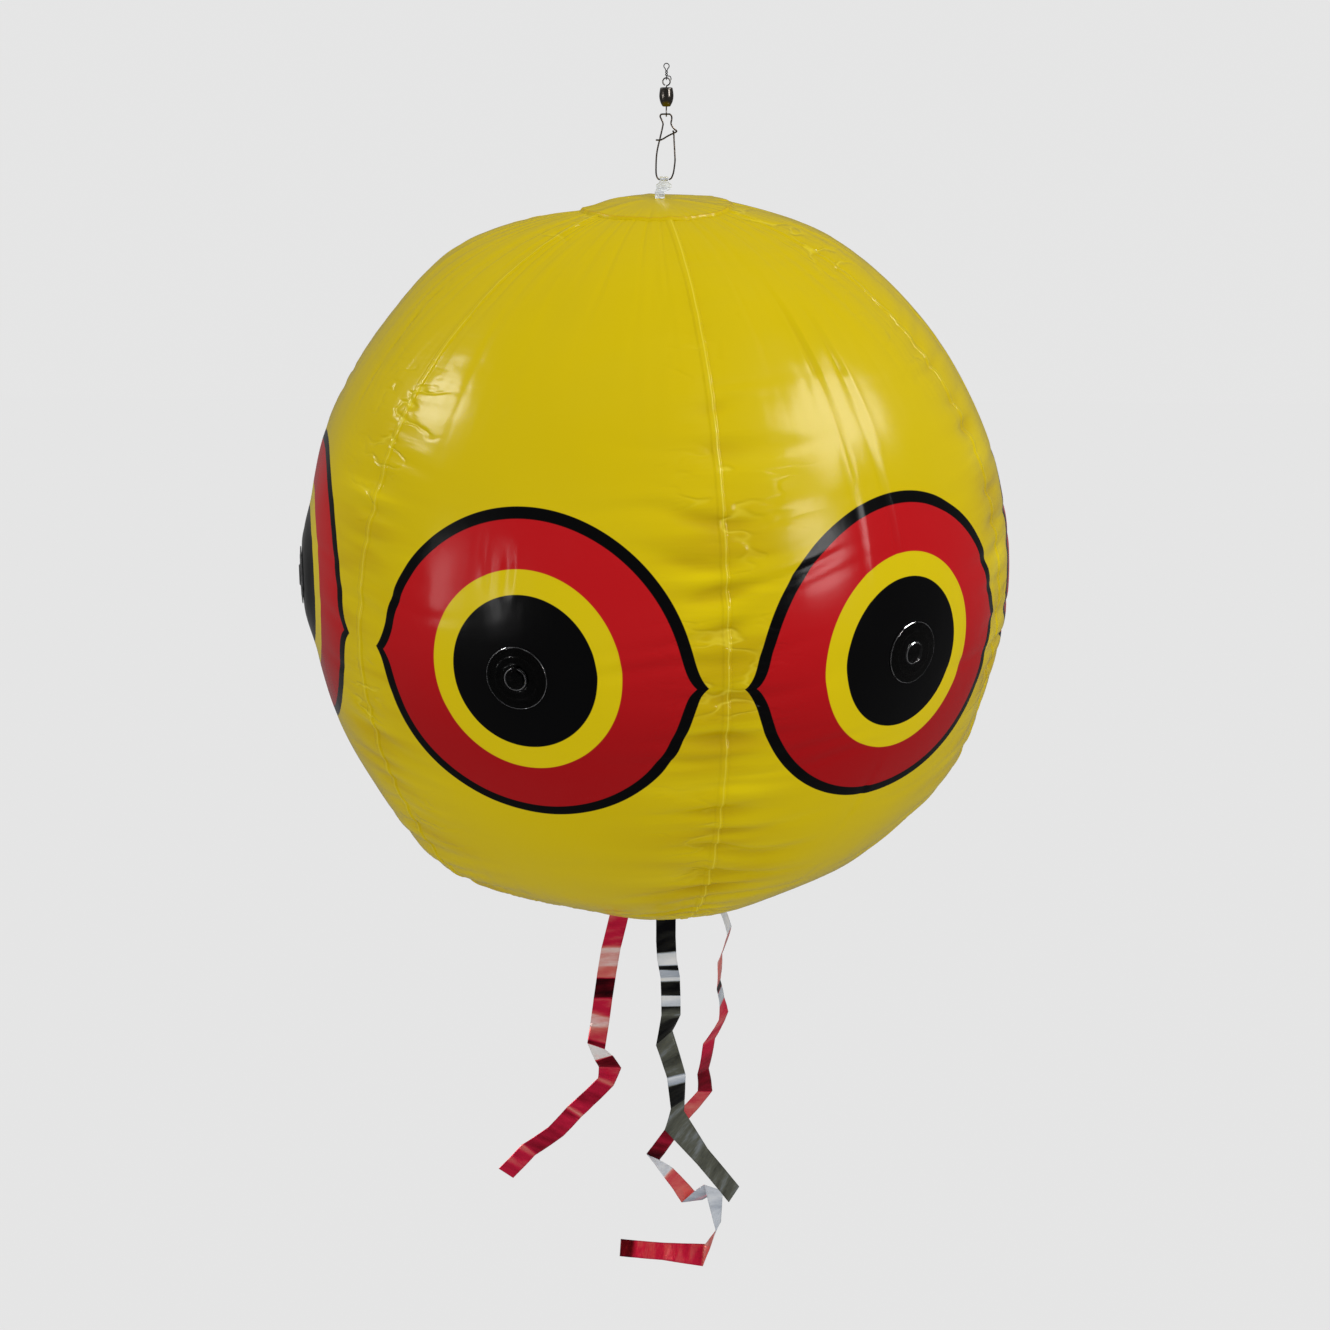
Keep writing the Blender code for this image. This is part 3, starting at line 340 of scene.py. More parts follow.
def pucker_field(bench, seam, away, latitude, depth, draw, spacing):
    """How deep the sheet sinks at a distance from a numbered seam, which both lapped sheets share."""
    along = latitude * BALL_RADIUS
    number = seam * 7.31
    line = bench.vector(along, away * 0.35, number)
    wander = bench.noise(line, 26.0, 1.0, 2.0) * 2.2
    phase = (along + away * (bench.noise(line, 14.0, 0.0, 9.0) - 0.5) * 1.1) / spacing + wander
    crest = (phase * (2 * pi)).cos() * 0.5 + 0.5
    strength = bench.noise(line, 34.0, 0.0, 5.0).step(0.3, 0.66) * 0.85 + 0.15
    reach = bench.noise(bench.vector(along, 0.0, number), 40.0, 0.0, 7.0).step(0.3, 0.7) * 0.034 + 0.012
    zone = latitude.step(radians(52), radians(12)) * (1 - latitude.step(radians(-50), radians(-76)))
    pinch = (-((abs(away) / reach) ** 1.5)).exp()
    valley = (-((abs(away) / 0.021) ** 1.25)).exp()
    near_end = 1 - abs(latitude).step(radians(64), radians(78))
    calm = 1 - (seam - (GORES - 1)).bell(0.4) * 0.6
    return (valley * draw + pinch * crest ** 1.9 * strength * depth * (zone * 0.86 + 0.14)) * near_end * calm


# %% A tree that grows pieces
class Recipe(Bench):
    """A Geometry Nodes tree, with the function that builds it and its named inputs as name, kind and start value."""

    def __init__(self, title, build, *wanted):
        super().__init__(bpy.data.node_groups.new(title, "GeometryNodeTree"))
        self.inputs = {}
        for name, kind, value in (*wanted, ("Material", "Material", None)):
            item = self.tree.interface.new_socket(name, in_out="INPUT", socket_type="NodeSocket" + kind)
            if value is not None:
                item.default_value = value
            self.inputs[name] = item.identifier
        self.tree.interface.new_socket("Geometry", in_out="OUTPUT", socket_type="NodeSocketGeometry")
        self.given = self.tree.nodes.new("NodeGroupInput")
        build(self, self.ask)

    def ask(self, name):
        return Flow(self, self.given.outputs[name])

    def shape(self, kind, sockets=None, output=0, **settings):
        return self.node(kind, sockets, output, "Geometry", **settings)

    def grid(self, columns, rows):
        return self.shape("MeshGrid", {"Size X": 1.0, "Size Y": 1.0, "Vertices X": columns, "Vertices Y": rows})

    def move(self, geometry, place):
        return self.shape("SetPosition", {"Geometry": geometry, "Position": place})

    def smooth(self, geometry):
        return self.shape("SetShadeSmooth", {"Geometry": geometry})

    def close(self, geometry):
        """Ends the tree in Realize Instances and Set Material."""
        real = self.shape("RealizeInstances", {0: geometry})
        coated = self.shape("SetMaterial", {"Geometry": real, "Material": self.ask("Material")})
        self.feed(self.tree.nodes.new("NodeGroupOutput").inputs["Geometry"], coated)
        print(self.tree.name + ":", len(self.tree.nodes), "nodes")

    def grow(self, name, values, start=None):
        """Runs the tree on an object, and keeps its result as the object's plain mesh."""
        piece = add_object(name, start or bpy.data.meshes.new(name + " start"))
        growth = piece.modifiers.new("growth", "NODES")
        growth.node_group = self.tree
        for label, value in values.items():
            growth[self.inputs[label]] = value
        piece.update_tag()
        return plain_copy(piece)


def plain_copy(piece):
    """Replaces a piece's mesh by what its modifiers make of it."""
    bpy.context.view_layer.update()
    mesh = bpy.data.meshes.new_from_object(piece.evaluated_get(bpy.context.evaluated_depsgraph_get()))
    piece.modifiers.clear()
    piece.data = mesh
    return piece


def thicken(piece, thickness, offset, name="sheet", **settings):
    """Gives a sheet its thickness, inward at an offset of -1 and outward at 1."""
    wall = piece.modifiers.new(name, "SOLIDIFY")
    wall.thickness, wall.offset = thickness, offset
    for setting, value in settings.items():
        setattr(wall, setting, value)


def finish_piece(piece, body, slot, *nodes):
    """Lets a piece ride on its body in place of its CAD nodes."""
    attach(piece, body)
    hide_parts(*nodes)


print("recipe helpers ready")

# %% [markdown]
# A gore is a grid that is bent into a slice of the ball. Its places sink where the seams pull the sheet in and
# where folds are left from packing, and rise where it laps over its neighbour. The distances that the print
# needs, and the depth that the painted shade in the valleys follows, are stored as maps before the grid is moved.

# %% The tree of one gore
FOLD_ENDS = [f"Fold {fold} {end}" for fold in "ABC" for end in ("start", "end")]
PRINT_WIDE, PRINT_HIGH = 90, 180
# The sink's scale and zero set how the painted valley shade follows the pucker depth.
MARGIN_SCALE, SINK_SCALE, SINK_ZERO = 50, 250, 0.0012
CROWDING = 0.76
LAP_SLOPE, LAP_EDGE_SLOPE, LAP_EDGE_DROP = 0.0012, 0.001, 0.00015


def fold_line(bench, across, upward, start, end):
    """A packing fold's dent between two places on the print in degrees, with its depth in mm as start's z."""
    x0, y0, depth = bench.parts(start)
    x1, y1, _ = bench.parts(end)
    run_x, run_y = x1 - x0, y1 - y0
    length = run_x * run_x + run_y * run_y + 0.0001
    share = ((across - x0) * run_x + (upward - y0) * run_y) / length
    held = share.math("MAXIMUM", 0.0).math("MINIMUM", 1.0)
    off_x, off_y = across - x0 - run_x * held, upward - y0 - run_y * held
    near = (off_x * off_x + off_y * off_y).root()
    side = (off_x * run_y - off_y * run_x).math("SIGN")
    fade = share.step(-0.05, 0.3) * (1 - share.step(0.7, 1.05))
    return (near.bell(0.34) + side * near.bell(1.4) * 0.45) * depth * 0.001 * fade


def build_gore(bench, ask):
    grid = bench.grid(ask("Columns"), ask("Rows"))
    x, y, _ = bench.parts(bench.shape("InputPosition"))
    even = x + 0.5
    share = even - (even * (2 * pi)).sin() * (CROWDING / (2 * pi))
    latitude = y * (2 * acos(TIP_RADIUS / BALL_RADIUS))
    across = latitude.cos() * BALL_RADIUS
    lap = LAP_HALF_WIDTH / across
    angle = share * (lap * 2 + SPAN) - lap
    off_x, off_y = (angle - SPAN / 2) * BALL_RADIUS, (latitude - EYE_LATITUDE) * BALL_HALF_HEIGHT
    from_valve = (off_x * off_x + off_y * off_y).root() + 0.00001
    pushed = ((ask("Valve hole") / from_valve) ** 4 + 1) ** 0.25
    angle = off_x * pushed / BALL_RADIUS + SPAN / 2
    latitude = off_y * pushed / BALL_HALF_HEIGHT + EYE_LATITUDE
    left, right = angle * across, (angle - SPAN) * across
    number = ask("Gore number")
    next_number = (number + 1).math("MODULO", float(GORES))
    strengths = (ask("Pucker depth"), ask("Seam draw"), ask("Pucker spacing"))
    sink = pucker_field(bench, number, left, latitude, *strengths)
    sink = sink + pucker_field(bench, next_number, right, latitude, *strengths)
    print_across, print_up = (angle - SPAN / 2) * (180 / pi), latitude * (180 / pi)
    for start, end in zip(FOLD_ENDS[::2], FOLD_ENDS[1::2]):
        sink = sink + fold_line(bench, print_across, print_up, ask(start), ask(end))
    lift = right.step(-LAP_HALF_WIDTH - LAP_SLOPE, -LAP_HALF_WIDTH) * LAP_LIFT
    lift = lift - right.step(LAP_HALF_WIDTH - LAP_EDGE_SLOPE, LAP_HALF_WIDTH) * (LAP_LIFT + LAP_EDGE_DROP)
    azimuth = number * SPAN + angle
    lift = lift - sink + slack(bench, azimuth, latitude, ask("Seed"))
    shift_x, shift_y, _ = bench.parts(ask("Print shift"))
    # The margin map holds the distance from the seams, then the pucker depth that the painted valley shade follows.
    maps = {
        "print": bench.vector((print_across - shift_x) / PRINT_WIDE + 0.5, (print_up - shift_y) / PRINT_HIGH + 0.5),
        "margin": bench.vector(abs(left).math("MINIMUM", abs(right)) * MARGIN_SCALE, (sink - SINK_ZERO) * SINK_SCALE),
    }
    for name, value in maps.items():
        grid = bench.shape("StoreNamedAttribute", {"Geometry": grid, "Name": name, "Value": value},
                           data_type="FLOAT2", domain="CORNER")
    in_hole = from_valve.math("LESS_THAN", ask("Valve hole") * 0.6)
    cut = bench.shape("DeleteGeometry", {"Geometry": grid, "Selection": in_hole}, domain="POINT")
    bench.close(bench.smooth(bench.move(cut, ball_place(bench, azimuth, latitude, lift))))


gore_recipe = Recipe(
    "Gore of an inflated ball", build_gore, ("Gore number", "Float", 0), ("Seam draw", "Float", 0.0016),
    ("Pucker depth", "Float", 0.0042), ("Pucker spacing", "Float", 0.017), ("Columns", "Int", 140),
    ("Rows", "Int", 290), ("Seed", "Float", 4), *((label, "Vector", None) for label in FOLD_ENDS),
    ("Valve hole", "Float", 0), ("Print shift", "Vector", None))

# %% [markdown]
# ## Printed vinyl
# The print is flat colour on glossy vinyl: a black pupil, a yellow ring, a red field and a black outline with
# a pointed corner at each side. Rings are distances from the eye's middle, so they are drawn with sums on the
# gore's own print coordinates. Fine wrinkles and a faint orange peel go into the bump. Shade and highlights are
# also painted into the colour: in the pucker valleys and on their crests, along the welds and crinkles, and on
# the red field's lower part.


# %% Colours and measures of the print, with painted shade and highlights
YELLOW = (0.61, 0.46, 0.001, 1)
DEEP_YELLOW = (0.56, 0.415, 0.001, 1)
RING_YELLOW = (0.64, 0.49, 0.002, 1)
RED = (0.46, 0.006, 0.009, 1)
BLACK = (0.0015, 0.0015, 0.0017, 1)
# Painted shade: the deep amber of the pucker valleys near the seams.
PAINTED_PUCKER_SHADE = (0.45, 0.29, 0.002, 1)
# Partly the weld's own whitening, partly a painted glint along the seams and crinkles.
WELD_AND_GLINT_YELLOW = (0.85, 0.72, 0.06, 1)
# Painted highlight: the bright yellow on the pucker crests near the seams.
PAINTED_CREST_HIGHLIGHT = (0.78, 0.61, 0.001, 1)
# Painted shade: the red is darker toward the eye's lower part.
SHADED_RED = (0.33, 0.004, 0.006, 1)
# The print's measures are degrees of the ball, apart from those that are shares of the black outline.
PUPIL, RING, INK_BLUR = 10.93, 14.37, 0.06
OUTLINE_HALF_WIDTH, OUTLINE_TOP, OUTLINE_BOTTOM, TIP_DROP = 24.6, 24.0, 21.5, 1.2
RED_SHARE, OUTLINE_BLUR, CORNER_SHARE = 0.93, 0.0026, 0.075
WELD_WIDTH = 0.00035
print("print: pupil", PUPIL, "ring", RING, "outline", OUTLINE_HALF_WIDTH, "by", OUTLINE_TOP, "and", OUTLINE_BOTTOM,
      "degrees of the ball")


# %% The print and the sheet's surface
def feed(bench, shader, **sockets):
    """Links or sets the shader's sockets, named with underscores for spaces."""
    for name, value in sockets.items():
        bench.feed(shader.inputs[name.replace("_", " ")], value)


def yellow_sheet(bench, place):
    """The sheet's own colour, in soft patches."""
    tone = bench.noise(place, 7.0, 2.0, 2.0).step(0.3, 0.7)
    return bench.blend(tone * 0.5, YELLOW, DEEP_YELLOW)


def vinyl_surface(bench, place, from_seam):
    """The relief of thin glossy sheet and its seams as a normal, then its roughness, welds and crinkles."""
    long_way = bench.scaled(place, 1, 1, 0.4)
    wrinkles = bench.noise(long_way, 34.0, 3.0, 1.0)
    creases = (bench.noise(long_way, 11.0, 2.0, 6.0) - 0.5).bell(0.016)
    creases = creases * bench.noise(place, 9.0, 0.0, 7.0).step(0.42, 0.62)
    crinkles = (bench.noise(bench.scaled(place, 0.6, 0.6, 1.6), 46.0, 2.0, 9.0) - 0.5).bell(0.035)
    crinkles = crinkles * from_seam.bell(0.028) * bench.noise(place, 16.0, 0.0, 2.0).step(0.45, 0.6)
    streaks = bench.noise(bench.scaled(place, 0.3, 0.3, 2.4), 60.0, 2.0, 4.0) * from_seam.bell(0.03)
    weld = from_seam.bell(WELD_WIDTH)
    grain = bench.noise(place, 900.0, 1.0, 3.0)
    height = wrinkles * 0.00085 - creases * 0.0003 - crinkles * 0.001
    height = height + streaks * 0.0009 + weld * 0.00025 + grain * 0.00001
    roughness = bench.noise(place, 17.0, 3.0, 8.0).step(0.35, 0.75) * 0.08 + 0.17
    return bench.bump(height, 0.6), roughness, weld, crinkles


def inked(distance, edge, blur):
    """1 inside an edge of the print, with a slight blur."""
    return distance.step(edge + blur, edge - blur)


def printed_vinyl():
    """The sheet's yellow, with painted shade and highlights, and each ink laid over the one before."""
    made, bench, shader = new_material("printed vinyl")
    place = bench.place()
    across, upward = bench.marks("print")
    # The second value is the pucker depth, which only sets the painted shade in the valleys.
    from_seam, sunk = bench.marks("margin")
    from_seam = from_seam / MARGIN_SCALE
    across, upward = (across - 0.5) * PRINT_WIDE, (upward - 0.5) * PRINT_HIGH
    from_eye = (across * across + upward * upward).root()
    from_tips = upward + TIP_DROP
    high = from_tips.math("MAXIMUM", 0.0) / OUTLINE_TOP + from_tips.math("MINIMUM", 0.0) / OUTLINE_BOTTOM
    wide = across / OUTLINE_HALF_WIDTH
    oval = (high * high + wide * wide).root()
    outline = oval - (-(abs(high) / (oval + 0.001) / CORNER_SHARE)).exp() * CORNER_SHARE
    gathered = from_seam.bell(0.036) * upward.step(36.0, 14.0)
    # Soft streaks that share out painted shade and painted highlight near the seams.
    painted_light_bands = bench.noise(bench.scaled(place, 0.3, 0.3, 2.4), 26.0, 2.0, 4.0)
    bump, roughness, weld, crinkles = vinyl_surface(bench, place, from_seam)
    ink = yellow_sheet(bench, place)
    for share, colour in (
        # Painted shade in the pucker valleys, by their depth, and in streaks near the seams.
        (sunk.step(0.05, 0.7) * 0.4, PAINTED_PUCKER_SHADE), (painted_light_bands.step(0.46, 0.64) * gathered * 0.55, PAINTED_PUCKER_SHADE),
        # Painted highlight on the pucker crests, and lighter lines along the crinkles, partly the sheet's whitening and
        # partly painted glints.
        (painted_light_bands.step(0.46, 0.3) * gathered * 0.7, PAINTED_CREST_HIGHLIGHT), (crinkles ** 4 * 0.35, WELD_AND_GLINT_YELLOW),
        (inked(outline, 1.0, OUTLINE_BLUR), BLACK),
        # The red field is painted darker toward its lower part, as shade.
        (inked(outline, RED_SHARE, OUTLINE_BLUR), bench.blend(upward.step(9.0, -15.0), RED, SHADED_RED)),
        (inked(from_eye, RING, INK_BLUR), RING_YELLOW), (inked(from_eye, PUPIL, INK_BLUR), BLACK),
        # The weld line is painted lighter: partly the weld's own whitening, partly a painted glint.
        (weld * 0.5, WELD_AND_GLINT_YELLOW),
    ):
        ink = bench.blend(share, ink, colour)
    feed(bench, shader, Base_Color=ink, Roughness=roughness, Normal=bump, IOR=1.2)
    return made


vinyl = printed_vinyl()
print("vinyl:", len(vinyl.node_tree.nodes), "nodes")

# %% [markdown]
# All six gores come from the one tree. They differ in their packing folds, and two of them in where the print
# landed. The last one has a hole for the valve.

# %% Six gores from one tree
# The ends of three folds on each gore, as degrees across and up, and the depth in mm with each start.
FOLDS = {
    1: ((-7, 64, 1.0), (-7.8, 9, 0), (-0.6, 62, 0.9), (-2.1, 10, 0), (-3, -12, 0.4), (-8, -30, 0)),
    2: ((8, 60, 0.7), (3, 20, 0), (-12, 52, 0.5), (-16, 24, 0), (6, -18, 0.5), (2, -46, 0)),
    3: ((-6, 55, 0.8), (2, 15, 0), (14, 50, 0.5), (18, 26, 0), (-9, -20, 0.5), (-4, -50, 0)),
    4: ((11, 57, 0.7), (5, 22, 0), (-3, 44, 0.5), (-6, 20, 0), (4, -15, 0.4), (10, -44, 0)),
    5: ((-15, 53, 0.8), (-8, 18, 0), (9, 57, 0.6), (13, 30, 0), (-2, -20, 0.5), (-9, -48, 0)),
    6: ((-2.2, 21, 0.5), (-1.5, 11.5, 0), (-6.5, 22, 0.5), (-5.5, 12.5, 0), (-27, -46, 1.5), (2, -61, 0)),
}
PRINT_SHIFT = (0.3, 1.9, 0.0)
PRINT_SHIFTS = {1: (-1.2, 1.7, 0.0), GORES: (0.8, 2.2, 0.0)}
VALVE_HOLE = 0.0056
for number in range(1, GORES + 1):
    values = {"Gore number": float(number - 1), "Material": vinyl, "Print shift": PRINT_SHIFTS.get(number, PRINT_SHIFT)}
    for label, place in zip(FOLD_ENDS, FOLDS[number]):
        values[label] = tuple(map(float, place))
    if number == GORES:
        values["Valve hole"] = VALVE_HOLE
    gore = gore_recipe.grow(f"gore_panel_{number}", values)
    gore.data.transform(to_ball)
    thicken(gore, SHEET, -1)
    finish_piece(gore, "ball", "yellow vinyl", f"gore_{number}")
print("gore faces each:", len(gore.data.polygons))

# %% [markdown]
# ## The end discs
# A round disc of the same vinyl is welded over the points of the gores at each end. It follows the ball, and
# shows as low ribs where the seams run under it, so its tree wraps a grid of rings on the same rule.

# %% Discs at the two ends
RIB_HEIGHT, RIB_WIDTH = 0.0004, 0.0028


def build_disc(bench, ask):
    grid = bench.grid(241, 44)
    x, y, _ = bench.parts(bench.shape("InputPosition"))
    azimuth, from_axis = x * (2 * pi) * ask("End"), (1 - (y + 0.5) ** 1.7) * ask("Radius")
    latitude = (from_axis / BALL_RADIUS).math("ARCCOSINE") * ask("End")
    from_seam = (azimuth / SPAN).math("FRACT").math("PINGPONG", 0.5) * SPAN * from_axis
    rib = from_seam.bell(RIB_WIDTH) * ask("Rib height") * from_axis.step(0.004, 0.014)
    pressed = (ask("Radius") - from_axis).step(0.0016, 0.0) * (CAP_LIFT - LAP_LIFT * 0.3)
    lift = slack(bench, azimuth, latitude, 4.0) + rib - pressed + CAP_LIFT
    placed = bench.move(grid, ball_place(bench, azimuth, latitude, lift))
    merged = bench.shape("MergeByDistance", {"Geometry": placed, "Distance": 0.000001})
    bench.close(bench.smooth(merged))


def plain_vinyl():
    made, bench, shader = new_material("plain yellow vinyl")
    place = bench.place()
    x, y, _ = bench.parts(bench.node("Mapping", {"Vector": place, "Location": tuple(-BALL_CENTRE)}))
    to_edge = abs((x * x + y * y).root() - CAP_RADIUS + 0.0012)
    bump, roughness, weld, _ = vinyl_surface(bench, place, to_edge)
    shade = bench.blend(weld * 0.5, yellow_sheet(bench, place), (0.6, 0.33, 0.01, 1))
    feed(bench, shader, Base_Color=shade, Roughness=roughness, Normal=bump, IOR=1.2)
    return made


disc_recipe = Recipe("End disc", build_disc, ("End", "Float", 1), ("Radius", "Float", CAP_RADIUS),
                     ("Rib height", "Float", RIB_HEIGHT))
yellow = plain_vinyl()
for end, direction in (("top", 1.0), ("bottom", -1.0)):
    disc = disc_recipe.grow(f"{end}_disc", {"End": direction, "Material": yellow})
    disc.data.transform(to_ball)
    thicken(disc, SHEET, -1)
    finish_piece(disc, "ball", "yellow vinyl", f"{end}_cap")
    faces = disc.data.polygons
    print(disc.name, len(faces), "faces, faces out:", faces[len(faces) // 2].normal.z * direction > 0)

# %% [markdown]
# ## Clear vinyl
# The pupil discs, the valve and the hanging tab are clear soft vinyl. Light passes through them, so they show
# the black print or the sky behind. On the pupil discs and the valve, the rims and moulded rings have painted
# glints: a pale, partly metallic colour that mirrors the room as bright lines.

# %% Clear vinyl
CLEAR, HAZY = (0.96, 0.98, 1.0, 1), (0.8928, 0.9114, 0.93, 1)
# The sheet over the ink, and the painted glint of its rims and rings.
WET_SHEET, PAINTED_RING_GLINT = (0.04, 0.04, 0.04, 1), (0.7, 0.7, 0.72, 1)
RIM_SHINE, RING_SHINE, OUTER_RING = 0.0161, 0.0056, 0.0112
TURNED_SCALE = 30


def clear_vinyl():
    """Soft clear sheet, slightly milky and rippled."""
    made, bench, shader = new_material("clear vinyl")
    place = bench.place()
    ripple = bench.noise(place, 220.0, 2.0, 4.0) * 0.00008 + bench.noise(place, 60.0, 1.0, 6.0) * 0.0002
    haze = bench.noise(place, 90.0, 2.0, 5.0).step(0.35, 0.8)
    feed(bench, shader, Base_Color=bench.blend(haze, CLEAR, HAZY), Roughness=haze * 0.06 + 0.03,
         Normal=bench.bump(ripple), Transmission_Weight=0.8, IOR=1.3)
    return made


def vinyl_on_ink():
    """Clear sheet that lies wet on black ink. Its rim and its moulded rings get painted glints: a pale, partly metallic
    colour that mirrors the room as bright lines.
    """
    made, bench, shader = new_material("clear vinyl on ink")
    place = bench.place()
    from_axis = bench.marks("turned")[0] / TURNED_SCALE
    # Painted glints: thin lines at the rim and at the moulded rings, made pale and partly metallic below.
    rings = (from_axis - RIM_SHINE).bell(0.00022) + (from_axis - RING_SHINE).bell(0.00024)
    rings = rings + (from_axis - OUTER_RING).bell(0.0002) * 0.12
    uneven = bench.noise(place, 150.0, 2.0, 3.0).step(0.3, 0.6)
    feed(bench, shader, Base_Color=bench.blend(rings, WET_SHEET, PAINTED_RING_GLINT), Metallic=rings * (uneven * 0.5 + 0.12),
         Roughness=uneven * 0.05 + 0.08, Normal=bench.bump(bench.noise(place, 90.0, 2.0, 4.0) * 0.00012),
         Transmission_Weight=1.0, IOR=1.22)
    return made


clear = clear_vinyl()
wetted = vinyl_on_ink()
print("clear finishes ready")


# %% Turned pieces and their places
def mesh_from(name, shape):
    """Writes an edited shape to a new mesh."""
    mesh = bpy.data.meshes.new(name)
    shape.to_mesh(mesh)
    shape.free()
    return mesh


def face_out(mesh):
    """Merges a mesh's doubles and turns its faces outward."""
    shape = bmesh.new()
    shape.from_mesh(mesh)
    bmesh.ops.remove_doubles(shape, verts=shape.verts, dist=0.000002)
    bmesh.ops.recalc_face_normals(shape, faces=shape.faces)
    shape.to_mesh(mesh)
    shape.free()
    return mesh


def soften(mesh, sharp=38):
    """Shades a mesh smooth, apart from edges that bend more than some degrees."""
    mesh.shade_smooth()
    mesh.set_sharp_from_angle(angle=radians(sharp))
    return mesh


def add_map(mesh, name, values):
    """Adds a map that holds each vertex's pair of values."""
    layer = mesh.uv_layers.new(name=name)
    for corner in mesh.loops:
        layer.data[corner.index].uv = values[corner.vertex_index]


def turned(name, profile, steps, place=Matrix()):
    """Spins a profile of (radius, height) about Z into a closed piece, and puts it in place."""
    shape = bmesh.new()
    corners = [shape.verts.new((radius, 0, height)) for radius, height in profile]
    edges = [shape.edges.new(pair) for pair in zip(corners, corners[1:])]
    if profile[0][0] > 0:
        edges.append(shape.edges.new((corners[-1], corners[0])))
    bmesh.ops.spin(shape, geom=corners + edges, cent=(0, 0, 0), axis=(0, 0, 1), angle=2 * pi,
                   steps=steps, use_merge=True)
    mesh = soften(face_out(mesh_from(name, shape)))
    add_map(mesh, "turned", [(vertex.co.xy.length * TURNED_SCALE, vertex.co.z * TURNED_SCALE + 0.5)
                             for vertex in mesh.vertices])
    mesh.transform(place)
    return mesh


def piece_of(name, mesh, finish):
    mesh.materials.clear()
    mesh.materials.append(finish)
    return add_object(name, mesh)


EYE_ACROSS, EYE_UP = BALL_RADIUS * cos(EYE_LATITUDE), BALL_HALF_HEIGHT * sin(EYE_LATITUDE)
EYE_RISE = atan(tan(EYE_LATITUDE) * BALL_RADIUS / BALL_HALF_HEIGHT)


def eye_place(index):
    """The frame of an eye's middle, with +Z out of the ball and +Y up."""
    azimuth = (index + 0.5) * SPAN
    turn = Matrix.Rotation(azimuth, 4, "Z") @ Matrix.Rotation(radians(90) - EYE_RISE, 4, "X")
    middle = (EYE_ACROSS * sin(azimuth), -EYE_ACROSS * cos(azimuth), EYE_UP)
    return to_ball @ Matrix.Translation(middle) @ turn


print("first eye's middle:", [round(c, 4) for c in eye_place(0).translation])

# %% [markdown]
# One disc is turned from its profile, and a tree sets it on five of the six pupils. It is thin, follows the
# ball's curve, and carries two low moulded ridges.

# %% Discs on five pupils
DISC_RADIUS, DISC_SEAT, DISC_WALL = 0.0162, 0.0003, 0.0006
DISC_EDGE = 0.0005
OUTER_RIDGE = (OUTER_RING, 0.0003, 0.00012)


def sag(radius):
    return radius ** 2 / (BALL_RADIUS + BALL_HALF_HEIGHT ** 2 / BALL_RADIUS)


def disc_outline(inside, bumps):
    """The profile of a thin disc that follows the ball, with round ridges at (radius, half width, height)."""
    steps = 60
    face, under = [], []
    for step in range(steps + 1):
        radius = inside + (DISC_RADIUS - inside) * step / steps
        edge = min(1, (DISC_RADIUS - radius) / DISC_EDGE)
        ridge = sum(high * exp(-((radius - at) / wide) ** 2) for at, wide, high in bumps)
        face.append((radius, DISC_SEAT + DISC_WALL * (0.45 + 0.55 * sqrt(edge)) - sag(radius) + ridge))
        under.append((radius, DISC_SEAT - sag(radius)))
    return face + under[::-1]


def build_pupil_discs(bench, ask):
    points = bench.shape("MeshLine", {"Count": ask("Count")})
    azimuth = (bench.shape("InputIndex") + 0.5) * SPAN
    across = ask("Ball radius") * cos(EYE_LATITUDE)
    middle = bench.vector(azimuth.sin() * across, -(azimuth.cos() * across), EYE_UP)
    turn = bench.vector(radians(90) - EYE_RISE, 0.0, azimuth)
    bench.close(bench.shape("InstanceOnPoints", {
        "Points": bench.move(points, middle), "Instance": ask("Disc"), "Rotation": turn}))


pupil_recipe = Recipe("Discs on the pupils", build_pupil_discs, ("Disc", "Geometry", None),
                      ("Count", "Int", GORES - 1), ("Ball radius", "Float", BALL_RADIUS))
one_disc = turned("pupil_disc", disc_outline(0, ((0.0054, 0.00045, 0.0006), OUTER_RIDGE)), 96)
discs = pupil_recipe.grow("pupil_discs", {"Material": wetted}, one_disc)
discs.data.transform(to_ball)
finish_piece(discs, "ball", "clear vinyl", *[f"pupil_disc_{index}" for index in range(1, GORES)])
print("pupil discs:", len(discs.data.polygons), "faces")

# %% [markdown]
# ## The valve
# The sixth disc carries the valve: a soft tube that is pulled out to blow the ball up and pushed back flush,
# a plug on a strap, and a thin flap inside that keeps the air in. Each is turned from its profile.

# %% Valve pieces
RIM_SEAT, RIM_FACE, STEM_END = 0.0012, 0.0019, -0.0123
STEM_RADIUS, STEM_BORE, RIM_RADIUS = 0.0054, 0.004, 0.006
PLUG_SEAT, PLUG_CAP_RADIUS, PLUG_CAP_TOP = 0.0022, 0.0046, 0.003
STRAP_HALF_WIDTH, STRAP_END = 0.0012, 0.00665
valve_place = eye_place(GORES - 1)


def box_piece(back, front, low, high):
    """A small bevelled bar across the valve, between two distances up and two heights."""
    shape = bmesh.new()
    size = Vector((2 * STRAP_HALF_WIDTH, front - back, high - low))
    middle = Vector((0, (front + back) / 2, (high + low) / 2))
    bmesh.ops.create_cube(shape, size=1, matrix=Matrix.Translation(middle) @ Matrix.Diagonal((*size, 1)))
    bmesh.ops.bevel(shape, geom=shape.edges[:], offset=min(size) * 0.3, segments=2, affect="EDGES", profile=0.5)
    mesh = mesh_from("bar", shape)
    mesh.transform(valve_place)
    return mesh


def joined(name, *meshes):
    shape = bmesh.new()
    for mesh in meshes:
        shape.from_mesh(mesh)
    return soften(mesh_from(name, shape))


